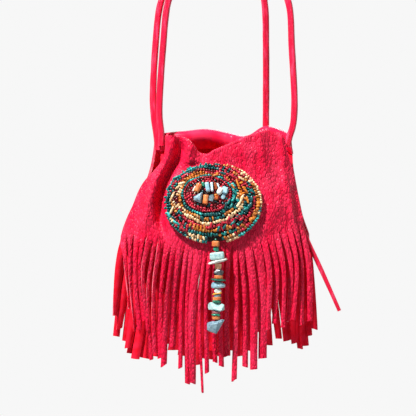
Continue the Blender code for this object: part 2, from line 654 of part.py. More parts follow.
def build_stone(front, name, shape, x, z, width, height, thickness, tilt, colour):
    """A stone of the centre, laid on the dome and turned to lie flat on it."""
    reach = 0.5 * min(width, height)
    sideways = (on_front(front, x + reach, z, backing_height(x + reach, z))
                - on_front(front, x - reach, z, backing_height(x - reach, z)))
    upwards = (on_front(front, x, z + reach, backing_height(x, z + reach))
               - on_front(front, x, z - reach, backing_height(x, z - reach)))
    lean = Matrix.Rotation(math.atan2(sideways.y, sideways.x), 3, "Z")
    pitch = Matrix.Rotation(-math.atan2(upwards.y, upwards.z), 3, "X")
    turn = Matrix.Rotation(math.radians(tilt), 3, "Y")
    lift = 2 * CLEAR + STONE_SEAT + backing_height(x, z) + 0.5 * thickness
    bm = stone_mesh(shape, width, height, thickness)
    made = build_object(name, bm, material(name, colour, STONE_SHINE), smooth=shape != "block")
    made.rotation_euler = (lean @ pitch @ turn).to_euler()
    made.location = on_front(front, x, z, lift) * MM
    return made


def strung_bead(width, depth, height, squareness, taper, bore):
    """A bead round a bore: squareness 0 makes a ball, 2 a round disc and more a block."""
    sides = BEAD_SIDES if max(width, depth) < WIDE_BEAD else WIDE_BEAD_SIDES
    hole = bore / 2
    if squareness == 0:
        radius = width / 2
        rise = math.sqrt(radius ** 2 - hole ** 2)
        profile = [(hole, -rise)]
        for k in range(1, BALL_STEPS):
            z = -rise + 2 * rise * k / BALL_STEPS
            profile.append((math.sqrt(radius ** 2 - z * z), z))
        profile.append((hole, rise))
        rounds = 2
    else:
        corner = BEAD_CORNER * height
        half = height / 2
        profile = [(hole, -half), (1.0 - corner / width, -half), (1.0, -half + corner),
                   (1.0, half - corner), (1.0 - corner / width, half), (hole, half)]
        rounds = squareness
    sections = []
    for k in range(sides):
        angle = 2 * math.pi * k / sides
        along, over = math.cos(angle), math.sin(angle)
        reach = (abs(2 * along / width) ** rounds + abs(2 * over / depth) ** rounds) ** (-1 / rounds)
        section = []
        for index, (radius, z) in enumerate(profile):
            if squareness and 0 < index < len(profile) - 1:
                narrow = taper + (1.0 - taper) * (z / height + 0.5)
                radius = max(radius * reach * narrow, hole + BEAD_WALL)
            section.append(Vector((radius * along, radius * over, z)))
        sections.append(section)
    bm = bmesh.new()
    sweep(bm, sections, closed=True)
    return bm


def dangle_x(height):
    return smooth_value(DANGLE_CURVE, height)


def dangle_depth(front):
    """How far out the thread hangs: the widest bead clears the backing's lower edge."""
    x = dangle_x(DANGLE_PIVOT_HEIGHT)
    top_bead = DANGLE_GROUPS[0][1][0]
    surface = -on_front(front, x, DANGLE_PIVOT_HEIGHT, 0.0).y
    return surface + 2 * CLEAR + BACKING_EDGE + top_bead[2] / 2 + CLEAR


def pivot(name, location, parent):
    made = bpy.data.objects.new(name, None)
    bpy.context.scene.collection.objects.link(made)
    made.location = location
    attach(made, parent)
    return made


def attach(piece, parent):
    """Parent a piece that already stands at its place in the world."""
    if parent is not None:
        bpy.context.view_layer.update()
        piece.parent = parent
        piece.matrix_parent_inverse = parent.matrix_world.inverted()


def build_dangle(front, thread_finish):
    """Groups of beads on lengths of thread; each group turns on the ball above it."""
    y = -dangle_depth(front)
    height = DANGLE_PIVOT_HEIGHT
    place = Vector((dangle_x(height), y, height))
    carrier = None
    thread_top = height
    height -= DANGLE_TOP_BEAD_GAP
    last_tilt, last_width = 0.0, 0.0
    for group, beads in DANGLE_GROUPS:
        carrier = pivot(group, place * MM, carrier)
        for name, width, depth, tall, squareness, taper, tilt, colour in beads:
            wedge = abs(math.sin(math.radians(tilt - last_tilt))) * 0.5 * min(width, last_width)
            height -= wedge + tall / 2
            bm = strung_bead(width, depth, tall, squareness, taper, BEAD_BORE)
            made = build_object(name, bm, material(name, colour, STONE_SHINE))
            made.rotation_euler = Euler((0.0, math.radians(tilt), 0.0))
            made.location = Vector((dangle_x(height), y, height)) * MM
            attach(made, carrier)
            place = Vector((dangle_x(height), y, height))
            height -= tall / 2 + CLEAR
            last_tilt, last_width = tilt, width
        ends_in_ball = beads[-1][4] == 0
        thread_bottom = place.z if ends_in_ball else height + 2 * CLEAR
        points = []
        for k in range(THREAD_STEPS + 1):
            level = thread_top + (thread_bottom - thread_top) * k / THREAD_STEPS
            points.append(Vector((dangle_x(level), y, level)))
        thread = build_lace("thread_" + group.split("_")[1], points, THREAD, THREAD_SIDES, thread_finish)
        attach(thread, carrier)
        thread_top = height + CLEAR / 2


def build_anchor(front):
    """The small green bead at the medallion's lower edge that the thread is tied to."""
    depth = dangle_depth(front) - THREAD / 2 - CLEAR - ANCHOR_BEAD / 2
    bm = bmesh.new()
    bmesh.ops.create_uvsphere(bm, u_segments=STONE_SIDES, v_segments=ANCHOR_RINGS,
                              radius=ANCHOR_BEAD / 2)
    made = build_object("dangle_anchor", bm, material("dangle_anchor", ANCHOR_GREEN, GLASS_SHINE))
    made.location = Vector((dangle_x(DANGLE_PIVOT_HEIGHT), -depth, DANGLE_PIVOT_HEIGHT)) * MM
    return made


def main():
    clear_scene()
    front = front_panel_shape()
    back = back_panel_shape()
    red = material("leather_red", LEATHER_RED, LEATHER_SHINE)
    dark = material("leather_lining", LEATHER_DARK, LINING_SHINE)
    lace = material("lace_red", LACE_RED, LACE_SHINE)
    thread = material("thread", THREAD_COLOUR, THREAD_SHINE)
    build_panel("front_panel", front, FRONT_SLITS, FRONT_STRIPS, red)
    build_panel("back_panel", back, *back_fringe(back), red)
    build_inner_pouch(front, back, dark)
    build_lace("strap_outer", smooth_route(STRAP_OUTER_ROUTE, LACE_STEP * LACE), LACE, LACE_SIDES, lace)
    build_lace("strap_inner", smooth_route(STRAP_INNER_ROUTE, LACE_STEP * LACE), LACE, LACE_SIDES, lace)
    build_lace("side_thong", smooth_route(SIDE_THONG_ROUTE, LACE_STEP * SIDE_THONG), SIDE_THONG,
               THREAD_SIDES, lace)
    build_drawstring(back, lace)
    build_backing(front, material("backing", BACKING_COLOUR, BACKING_SHINE))
    for name, place, height, beads, colour in BEAD_ROWS:
        build_bead_row(front, name, place, height, beads, material(name, colour, GLASS_SHINE))
    for stone in CENTRE_STONES:
        build_stone(front, *stone)
    build_anchor(front)
    build_dangle(front, thread)


main()
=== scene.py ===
"""Looks of the fringed leather pouch: leather panels and fringe, laces, beadwork and dangle.

Lengths below are millimetres unless a name says otherwise, and pieces are made in metres.
+X runs to the right of the pouch's front, -Y faces the viewer and +Z is up.
The origin is the top of the strap's arch, which the pouch hangs from.
"""

import math
import random
from dataclasses import dataclass

import bmesh
import bpy
import numpy as np
from mathutils import Matrix, Vector, noise


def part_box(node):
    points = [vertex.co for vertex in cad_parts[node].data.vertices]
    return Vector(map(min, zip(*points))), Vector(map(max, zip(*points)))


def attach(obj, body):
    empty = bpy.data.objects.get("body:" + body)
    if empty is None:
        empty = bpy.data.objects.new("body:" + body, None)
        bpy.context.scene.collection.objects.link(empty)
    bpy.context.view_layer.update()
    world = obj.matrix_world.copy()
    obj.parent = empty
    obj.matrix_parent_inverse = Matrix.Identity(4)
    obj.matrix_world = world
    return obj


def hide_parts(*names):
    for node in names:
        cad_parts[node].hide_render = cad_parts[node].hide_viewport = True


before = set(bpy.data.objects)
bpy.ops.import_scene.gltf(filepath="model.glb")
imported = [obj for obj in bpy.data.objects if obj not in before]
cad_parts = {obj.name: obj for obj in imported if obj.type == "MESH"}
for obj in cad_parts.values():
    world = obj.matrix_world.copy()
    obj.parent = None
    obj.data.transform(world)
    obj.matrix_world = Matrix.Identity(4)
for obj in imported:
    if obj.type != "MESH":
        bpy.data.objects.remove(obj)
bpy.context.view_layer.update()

MM = 0.001
SHARP_ANGLE = math.radians(42.0)
SLOPE_STEP = 0.01

# Camera: the frame's middle, its span and how far away it is taken from.
VIEW_CENTRE = (-9.1, -12.0, -167.7)
VIEW_SPAN = 270.4
VIEW_DISTANCE = 1000.0
SENSOR = 36.0

# Lamps: name, place, watts and size, in metres.
LAMPS = (("key", (-0.54, -0.58, 0.90), 39.0, 0.10),
         ("side", (1.10, -0.50, 0.30), 2.8, 0.40),
         ("back", (0.30, 0.80, 0.55), 8.0, 0.6))
FLOOR_HEIGHT = -0.45
FLOOR_SIZE = 12.0
FLOOR_SHADE = 0.93
FLOOR_LIT = 0.35
SKY_LIGHT = 0.02

# Leather and clearances.
LEATHER = 1.2
LINING = 0.8
CLEAR = 0.3
SIDE_THONG = 3.0
SEAM_OFFSET = LEATHER + CLEAR + SIDE_THONG / 2
PUFF_POWER = 2.2
PUFF_ROUNDNESS = 0.8

# Panel outlines: (height, x), from the fringe up to the rim.
FRONT_LEFT = (
    (-191.8, -67.0), (-183.3, -65.6), (-174.2, -62.4), (-165.8, -58.5), (-156.0, -54.5), (-149.5, -50.5),
    (-143.5, -44.8), (-137.5, -39.8), (-131.0, -37.4), (-119.6, -37.0))
FRONT_RIGHT = (
    (-185.3, 54.6), (-172.3, 52.7), (-162.5, 50.7), (-152.8, 48.8), (-141.7, 46.2), (-130.0, 42.9),
    (-120.9, 40.3), (-117.0, 35.8), (-115.0, 29.9))
BACK_LEFT = (
    (-192.0, -68.6), (-184.0, -66.0), (-175.0, -62.2), (-166.0, -58.0), (-156.0, -53.0), (-142.0, -48.3),
    (-132.0, -46.5), (-123.0, -45.5), (-114.0, -45.0))
BACK_RIGHT = (
    (-190.0, 59.5), (-182.0, 56.8), (-173.0, 53.6), (-163.0, 51.4), (-153.0, 49.4), (-140.0, 47.4),
    (-125.0, 46.8), (-120.0, 45.0), (-114.0, 41.0))

# Distance of each panel's edges from the middle plane, and the bulge added to it: (height, depth).
FRONT_GAPE = ((-150.0, SEAM_OFFSET), (-140.0, 4.2), (-132.0, 6.0), (-125.0, 7.0))
BACK_GAPE = ((-152.0, SEAM_OFFSET), (-145.0, 4.2), (-136.0, 8.4), (-126.0, 12.4))
FRONT_BULGE = ((-180.0, 14.5), (-165.0, 13.5), (-150.0, 11.0), (-137.0, 7.5), (-125.0, 5.0))
BACK_BULGE = ((-180.0, 9.5), (-165.0, 8.5), (-150.0, 6.5), (-137.0, 4.0), (-125.0, 2.0))

# Top edges: (share of the width, height).
FRONT_LIP = (
    (0.0, -119.6), (0.10, -120.3), (0.19, -122.9), (0.238, -126.8), (0.276, -131.0), (0.345, -132.3),
    (0.397, -129.8), (0.514, -126.1), (0.638, -121.8), (0.765, -119.0), (0.9, -116.5), (1.0, -116.5))
BACK_RIM = (
    (0.0, -122.0), (0.07, -118.6), (0.25, -116.3), (0.41, -115.2), (0.56, -118.0), (0.67, -119.7),
    (0.80, -114.2), (0.86, -113.2), (0.94, -115.6), (1.0, -119.0))

# Folds: width, then (x, z, height) along the fold's line.
FRONT_FOLDS = ((3.9, ((-34.4, -121.0, 2.4), (-33.8, -129.0, 4.2), (-37.2, -139.0, 4.6),
                      (-44.0, -150.0, 4.6), (-48.4, -164.0, 4.2), (-50.0, -176.0, 2.8),
                      (-52.0, -186.0, 0.8))),
               (3.0, ((-27.4, -122.5, -2.0), (-27.0, -129.0, -5.2), (-29.2, -135.5, -6.0),
                      (-33.2, -142.0, -6.2), (-37.6, -152.0, -6.6), (-40.2, -164.0, -7.2),
                      (-40.2, -176.0, -6.6), (-37.5, -186.0, -2.8))),
               (3.8, ((-24.0, -121.5, 2.4), (-21.4, -129.0, 4.2), (-20.4, -136.0, 2.6),
                      (-17.5, -141.0, 0.8))),
               (3.4, ((-13.0, -131.0, -3.0), (-10.0, -139.0, -1.0))),
               (8.0, ((32.5, -115.0, -3.0), (34.5, -127.0, -3.4), (37.0, -140.0, -1.6))),
               (2.6, ((25.0, -120.0, 1.2), (26.5, -134.0, 1.8), (30.0, -150.0, 1.2), (33.0, -166.0, 0.4))),
               (2.0, ((38.8, -122.0, 1.6), (40.5, -138.0, 1.6), (41.5, -156.0, 0.5))),
               (2.4, ((42.0, -150.0, 0.8), (44.5, -160.0, 2.2), (47.0, -174.0, 2.0))),
               (2.4, ((47.5, -156.0, -1.4), (50.0, -172.0, -1.8))),
               (5.5, ((30.0, -178.0, 1.0), (36.0, -166.0, 1.4), (38.0, -154.0, 0.5))))
BACK_FOLDS = ((6.0, ((-30.0, -128.0, -1.4), (-26.0, -160.0, -0.6))),
              (5.0, ((-12.0, -128.0, 0.9), (-14.0, -150.0, 0.5))),
              (6.0, ((8.0, -128.0, -1.2), (6.0, -158.0, -0.5))),
              (5.0, ((28.0, -128.0, 0.9), (30.0, -152.0, 0.4))),
              (3.0, ((46.5, -124.0, 0.8), (47.0, -140.0, 0.5))))
RIDGE_FADE_START = 1.0
VALLEY_FADE_START = 0.84
FOLD_FADE = 0.14

# Drawn wrinkles: spacing across and down, height, sharpness, and where they start and reach full height.
WRINKLE_ACROSS = 2.7
WRINKLE_DOWN = 13.0
WRINKLE_HEIGHT = 0.32
WRINKLE_SHARPNESS = 2.2
WRINKLE_LEFT = -20.0
WRINKLE_EASE = 36.0
# Finer wrinkles over them: share of the height, how much closer they are, and their shift.
FINE_SHARE = 0.5
FINE_ACROSS = 1.7
FINE_DOWN = 1.4
FINE_SHIFT = 9.0
# Slow waves of a whole panel: height, lengths across and down, and the shift of their noise.
WAVE_HEIGHT = 0.5
WAVE_ACROSS = 14.0
WAVE_DOWN = 20.0
WAVE_SHIFT = 5.0
# Places in the noise that the panels' wrinkles are taken from.
FRONT_SEED = 1.0
BACK_SEED = 4.0

# Rolled top edges: radius, length of the hem inside, and how small the roll starts at its left end.
LACE = 4.4
LIP_EASE = 0.35
LIP_ROLL = LEATHER + LIP_EASE
LIP_HEM = 8.0
CASING_EASE = 0.8
CASING_ROLL = LEATHER + CASING_EASE + LACE / 2
CASING_HEM = 9.0
CASING_START = 0.6
LIP_START = 0.35
ROLL_GROWTH = 0.24
ROLL_STEPS = 10
HEM_STEPS = 6
BODY_ROWS = 84
STRIP_COLUMNS = 5
STRIP_ROWS = 44

# The back's left edge turns towards the front above the seam: length of the turned part, its turn,
# the height where it starts and the height over which it grows.
CURL_RUN = 9.0
CURL_TURN = 2.6
CURL_LOW = -158.0
CURL_EASE = 12.0
CURL_SHIFT = 5.6
CURL_SHIFT_RUN = 20.0

# Fringe. Front slits: (x, height of the slit's top); the first and last are the panel's edges.
FRONT_SLITS = (
    (-66.9, -190.0), (-61.8, -184.0), (-57.2, -181.4), (-52.7, -184.0), (-48.1, -182.0), (-44.5, -185.3),
    (-41.0, -185.3), (-37.1, -186.6), (-32.5, -188.5), (-28.6, -187.4), (-23.7, -188.0), (-20.6, -188.4),
    (-16.9, -188.0), (-11.4, -187.4), (-8.6, -189.0), (-5.2, -188.5), (-1.3, -189.0), (2.6, -188.0),
    (6.7, -188.5), (9.8, -189.2), (13.7, -187.2), (18.9, -187.4), (24.9, -186.6), (28.9, -185.3),
    (33.0, -184.0), (36.7, -180.7), (41.0, -179.4), (44.5, -176.2), (48.4, -173.6), (54.2, -180.0))
FRONT_ROLLED = (3, 27)
# Front strips: x half-way down, x and height of the tip, turn half-way and at the tip in degrees,
# width at the tip as a share, slant of the tip.
FRONT_STRIPS = (
    (-62.9, -61.2, -233.0, 78, 118, 0.45, 1.5), (-59.9, -58.0, -248.0, 66, 112, 0.50, -1.5),
    (-56.6, -53.8, -247.0, 50, 18, 0.85, 1.0), (-53.4, -50.6, -241.0, 48, 12, 0.85, 1.0),
    (-51.6, -48.4, -247.0, 64, 30, 0.85, 1.5), (-48.0, -45.9, -266.5, 66, 34, 0.9, 1.0),
    (-44.0, -43.6, -262.0, 62, 22, 1.0, 2.0), (-39.4, -40.2, -265.0, 56, 16, 1.05, 2.0),
    (-35.4, -37.6, -270.0, 52, 10, 1.1, 2.5), (-30.6, -32.4, -258.0, 22, 14, 1.0, 1.0),
    (-26.3, -27.2, -271.5, 6, 4, 0.95, 1.0), (-22.8, -22.6, -282.0, 2, 8, 0.95, -1.0),
    (-18.9, -19.0, -281.5, 4, 34, 0.95, -1.5), (-14.3, -12.6, -287.5, 26, 46, 0.75, -1.0),
    (-10.2, -9.4, -274.5, 34, 26, 1.0, 1.5), (-5.4, -5.0, -268.0, 52, 30, 1.0, -1.0),
    (-0.9, -0.6, -270.4, 56, 22, 1.0, -1.0), (3.4, 3.2, -264.0, 48, 12, 1.0, 1.5),
    (9.2, 7.4, -279.5, -30, -18, 1.25, 2.0), (14.6, 14.6, -271.0, 12, -6, 1.0, -1.0),
    (20.4, 20.4, -272.5, -4, -8, 0.95, 0.5), (26.4, 26.4, -265.5, -6, -4, 0.95, 0.5),
    (30.8, 29.6, -247.0, -28, -16, 0.9, 1.5), (35.4, 33.4, -243.0, -34, -40, 0.9, 0.5),
    (40.0, 39.4, -245.4, -40, -36, 0.9, 0.5), (44.6, 43.4, -241.5, -44, -30, 0.9, 1.0),
    (48.6, 47.0, -240.5, -46, -24, 0.9, -1.0), (52.0, 51.6, -244.0, -48, -20, 0.9, 1.0),
    (56.6, 58.0, -241.6, -24, -26, 0.7, 0.5))
# Back strips: x and height of the tip and turn at the tip in degrees.
BACK_STRIPS = (
    (-71.4, -238.5, 62), (-70.0, -252.5, 30), (-68.0, -247.0, 55), (-65.0, -256.0, 40),
    (-62.0, -260.0, 20), (-60.2, -264.0, 30), (-57.0, -267.5, -15), (-54.4, -259.0, 35),
    (-51.0, -267.0, -30), (-47.6, -262.0, 20), (-44.4, -266.0, -10), (-38.8, -258.0, 15),
    (-30.8, -262.0, -20), (-25.2, -266.0, 12), (-17.6, -272.0, -12), (-10.0, -268.0, 25),
    (-4.2, -262.0, -18), (0.6, -266.0, 15), (6.2, -262.0, -25), (11.2, -266.0, 20), (17.0, -262.0, -10),
    (23.6, -250.0, 25), (31.6, -258.5, -30), (37.4, -254.5, 35), (43.2, -255.6, 20), (46.0, -250.0, 40),
    (48.6, -257.0, 30), (51.0, -261.0, 45), (54.4, -258.8, 30), (57.4, -252.0, 50), (60.6, -247.6, 35))
# Back slits: their height and how it changes from slit to slit. Back strips: turn half-way as a share
# of the tip's, slant of the tips, and width at the tip of those in the middle and at the sides.
BACK_SLIT_HEIGHT = -186.0
BACK_SLIT_STAGGER = 1.6
BACK_SLIT_TURN = 2.1
BACK_FIRST_ROLLED = 2
BACK_TURN_MIDDLE = 0.3
BACK_SLANT = 1.5
BACK_SLANT_TURN = 3.7
BACK_WIDTH = 2.1
BACK_NARROW_WIDTH = 1.05
BACK_FIRST_WIDE = 7
BACK_LAST_WIDE = 21
# How far every second strip lies behind its neighbours, and how far strips sway.
FRONT_LAYER = 1.9
BACK_LAYER = 0.9
FRONT_SWAY = 0.55
BACK_SWAY = 0.9
# Run of all strips, with places along a strip as shares of its length: the place that "half-way down"
# stands for, how far the strip falls in from the belly's depth, and where it leaves the panel's shape.
STRIP_MIDDLE = 0.42
STRIP_DRAPE = 0.22
STRIP_JOIN = 0.11
# Most of a strip's first turn comes high up: its place and its share of the turn half-way.
STRIP_TURN_START = 0.14
STRIP_TURN_SHARE = 0.6
# Width left of each strip after cutting, where it starts to change, and where the tip's slant starts.
STRIP_KEPT = 0.97
STRIP_TAPER_START = 0.3
STRIP_TIP_START = 0.8
# Turned strips bow forward, every second one leaves its layer, and all curl to a hollow section.
STRIP_BOW = 1.6
STRIP_BOW_RUN = 1.2
STRIP_LAYER_RUN = 0.3
STRIP_CUP = 1.2
STRIP_CUP_RUN = 0.25
STRIP_SWAY_TURNS = (2.4, 3.1)
STRIP_SWAY_START = 6.0

# Inner pouch, between the panels.
POUCH_TOP = -149.0
POUCH_TURN = -184.0
POUCH_BOTTOM = -202.0
POUCH_SIDE_INSET = 4.0
POUCH_EASE = 0.45
POUCH_ROWS = 26
POUCH_BOTTOM_ROWS = 12
POUCH_HALF_POINTS = 48
POUCH_BOTTOM_SWING = math.radians(86.0)
POUCH_CREASE = 0.5
POUCH_CREASE_ACROSS = 6.0
POUCH_CREASE_DOWN = 9.0
POUCH_SEED = 3.0

# Laces: the route points are (x, y, z).
STRAP_OUTER_ROUTE = (
    (-41.9, 1.3, -129.5), (-43.2, 1.3, -118.3), (-44.7, 1.3, -107.3), (-45.3, 1.3, -92.3),
    (-43.8, 1.3, -62.4), (-40.6, 1.6, -34.0), (-32.5, 2.2, -17.0), (-18.0, 2.6, -5.6), (0.0, 2.7, -2.2),
    (20.0, 2.6, -5.6), (36.0, 2.2, -17.0), (44.3, 1.6, -34.0), (46.1, 0.8, -62.4), (47.7, 0.3, -92.3),
    (47.5, 0.0, -107.3), (46.4, 0.0, -115.0), (44.4, 0.0, -121.0), (43.0, 0.0, -127.5))
STRAP_INNER_ROUTE = (
    (-39.6, -2.1, -127.0), (-39.85, -2.1, -118.3), (-41.0, -2.2, -107.3), (-40.7, -2.2, -92.3),
    (-38.6, -2.3, -62.4), (-35.6, -2.6, -34.0), (-28.0, -2.7, -17.0), (-15.0, -2.7, -5.6),
    (0.0, -2.7, -2.2), (13.0, -2.6, -5.6), (23.5, -1.6, -17.0), (28.3, 0.6, -34.0), (29.3, 6.0, -62.4),
    (29.6, 12.5, -92.3), (29.6, 16.2, -110.0), (29.6, 16.9, -124.0))
SIDE_THONG_ROUTE = (
    (51.1, 0.0, -175.0), (52.4, 0.0, -179.3), (57.0, -0.2, -190.5), (64.0, -0.4, -205.5),
    (71.0, -0.5, -221.0), (77.3, -0.4, -235.3))
STRAP_OUTER_LENGTH = 0.3056
STRAP_INNER_LENGTH = 0.2839
SIDE_THONG_LENGTH = 0.0658
LACE_STEP = 1.3
LACE_SIDES = 22
# Lace section: depth and width of the groove along the rolled lace, and how flat the lace is.
LACE_GROOVE = 0.24
LACE_GROOVE_WIDTH = 0.34
THONG_FLATNESS = 0.62
THONG_TIP = 0.8
# Where a lace starts to thin towards its tip, how uneven it is and how far its groove wanders round it.
LACE_TAPER_START = 0.55
LACE_UNEVEN = 0.05
LACE_UNEVEN_RUN = 0.11
LACE_DRIFT = 0.35
LACE_DRIFT_RUN = 0.03

# Medallion: a domed oval. Ovals are (x, z, half width, half height).
MEDALLION_OVAL = (-5.9, -164.5, 31.7, 26.2)
CENTRE_OVAL = (-9.5, -158.5, 14.2, 10.4)
BACKING_SHARE = 0.95
BACKING_INNER = 0.01
BACKING_EDGE = 1.4
BACKING_RISE = 2.4
BACKING_RINGS = 14
BACKING_SIDES = 96
BACKING_NAP = 0.25
BACKING_NAP_SIZE = 1.7
BACKING_SEED = 2.0
# The rows waver: (push, waves round the oval, waves from row to row).
ROW_WAVES = ((0.5, 5.0, 9.0), (0.35, 9.0, -5.0))
ROW_PUSH = 1.1
# How far the middles of beads and chips stand over the felt, and their thickness.
BEAD_STAND = 0.75
CHIP_STAND = 1.7
BEAD_DEPTH = 1.6
CHIP_DEPTH = 1.5
BEADWORK_SEED = 7
# Least and most of each bead's length, depth, width and stand, against its row's, and its turns.
BEAD_LENGTHS = (0.66, 1.35)
BEAD_DEPTHS = (0.8, 1.5)
BEAD_WIDTHS = (0.8, 1.4)
BEAD_STANDS = (-0.35, 0.55)
BEAD_NARROWEST = 1.3
BEAD_LEAN = 0.12
BEAD_JITTER = 0.42
ROW_STEP = 0.02
# Where the dangle leaves the rows, and the room they leave it.
DANGLE_ROOT = (-4.2, -189.6)
DANGLE_ROOM = 4.6

# Rows of beads, from the centre out: place of the row's middle, its width as a share of the band,
# bead width along the row, then (angle the colours start at, colours). Angles run from the right, up.
BEAD_ROWS = (
    (0.035, 0.085, 1.45, ((0, "crimson"),)),
    (0.145, 0.105, 1.75, (
     (0, "teal turquoise"), (25, "turquoise teal"), (150, "teal_dark teal"), (235, "turquoise teal"),
     (285, "teal_dark teal teal_dark"))),
    (0.265, 0.115, 1.75, (
     (0, "ochre cream teal_dark"), (18, "teal turquoise"), (40, "crimson ochre"), (75, "ochre orange"),
     (165, "cream ochre"), (185, "ochre orange"), (215, "cream ochre"), (250, "ochre cream teal_dark"),
     (290, "teal_dark teal ochre"), (335, "teal_dark teal"))),
    (0.385, 0.115, 1.85, (
     (0, "orange ochre"), (22, "orange maroon"), (45, "crimson"), (80, "crimson ochre"),
     (105, "ochre orange"), (150, "cream"), (175, "maroon cream"), (215, "cream crimson"), (245, "cream"),
     (345, "ochre cream"))),
    (0.505, 0.115, 1.75, (
     (0, "ochre maroon orange"), (22, "crimson orange"), (50, "crimson"), (85, "crimson maroon"),
     (120, "ochre orange"), (155, "cream maroon"), (205, "teal crimson"), (235, "crimson"),
     (325, "crimson teal"), (340, "teal_dark teal"))),
    (0.625, 0.115, 1.75, (
     (0, "teal teal_dark"), (28, "crimson orange"), (55, "teal_dark crimson"), (85, "teal_dark"),
     (110, "crimson maroon"), (140, "crimson teal"), (170, "maroon ochre"), (210, "crimson teal_dark"),
     (248, "ochre orange"), (285, "crimson ochre crimson"), (315, "teal teal_dark crimson"),
     (335, "teal_dark"))),
    (0.745, 0.115, 1.8, (
     (0, "crimson teal_dark"), (22, "crimson teal"), (40, "ochre crimson"), (62, "teal_dark crimson"),
     (90, "teal teal_dark"), (125, "teal crimson"), (170, "teal teal_dark"), (205, "maroon crimson"),
     (225, "teal crimson"), (246, "teal_dark teal"), (285, "ochre crimson teal"), (318, "crimson ochre"),
     (345, "crimson"))),
    (0.865, 0.115, 1.8, (
     (0, "ochre orange"), (30, "ochre cream crimson"), (60, "ochre crimson"), (84, "crimson teal"),
     (108, "teal turquoise"), (145, "teal teal_dark"), (205, "cream teal_dark"), (222, "crimson teal"),
     (240, "cream cream ochre"), (266, "teal_dark"), (276, "teal_dark teal_dark"),
     (288, "cream crimson ochre"), (310, "crimson ochre"), (330, "orange ochre"))),
    (0.965, 0.085, 1.75, (
     (0, "cream"), (48, "cream ochre"), (78, "crimson none"), (100, "teal none"),
     (130, "teal turquoise none"), (200, "teal_dark teal"), (236, "teal cream"), (262, "teal turquoise"),
     (272, "none"), (288, "cream"), (306, "turquoise teal"), (345, "cream teal"))),
)
# Rings of small beads under the centre's stones, as shares of its oval.
CENTRE_RINGS = (0.92, 0.76, 0.60, 0.44, 0.28)
CENTRE_RING_BEADS = 40
CENTRE_RING_STAND = 0.45
CENTRE_BEAD_WIDTHS = (1.3, 2.0)
CENTRE_BEAD_LENGTHS = (1.5, 2.6)
CENTRE_COLOURS = ("maroon", "crimson", "maroon", "crimson", "teal_dark")
# Single small beads that fill the centre round its stones: x, z, length, width, tilt, colour.
CENTRE_FILL = (
    (-21.6, -160.4, 2.0, 1.7, 20, "crimson"), (-20.2, -159.2, 1.9, 1.7, -30, "crimson"),
    (-19.9, -161.2, 1.8, 1.6, 60, "crimson"), (-21.9, -158.6, 1.7, 1.5, 10, "crimson"),
    (-20.9, -156.4, 2.9, 2.0, 35, "maroon"), (-18.6, -155.4, 3.2, 1.5, -28, "maroon"),
    (-18.9, -157.6, 2.4, 1.7, 80, "maroon"), (-17.0, -157.2, 3.6, 0.9, 30, "cream"),
    (-12.6, -157.0, 2.0, 1.5, 10, "teal_dark"), (-12.9, -163.6, 1.9, 1.6, 0, "teal"),
    (-12.4, -159.4, 1.8, 1.3, 30, "maroon"), (-13.4, -166.0, 2.0, 1.4, 90, "maroon"),
    (-4.9, -157.8, 2.4, 1.3, -20, "maroon"), (-4.2, -159.4, 2.2, 1.5, 70, "orange"),
    (-1.6, -159.9, 2.4, 1.6, -35, "maroon"), (0.8, -158.6, 1.8, 1.5, 10, "crimson"),
    (-5.6, -163.8, 2.2, 1.6, 60, "maroon"), (-7.6, -164.0, 2.0, 1.5, 90, "crimson"),
    (1.6, -163.2, 2.0, 1.6, 40, "crimson"), (-2.8, -151.8, 2.2, 1.3, -30, "maroon"),
    (-9.4, -150.2, 1.8, 1.3, 90, "crimson"), (-5.4, -150.6, 1.8, 1.3, 80, "crimson"),
    (-14.0, -157.3, 1.6, 1.3, 0, "teal_dark"), (-1.4, -163.6, 1.8, 1.5, 20, "crimson"))

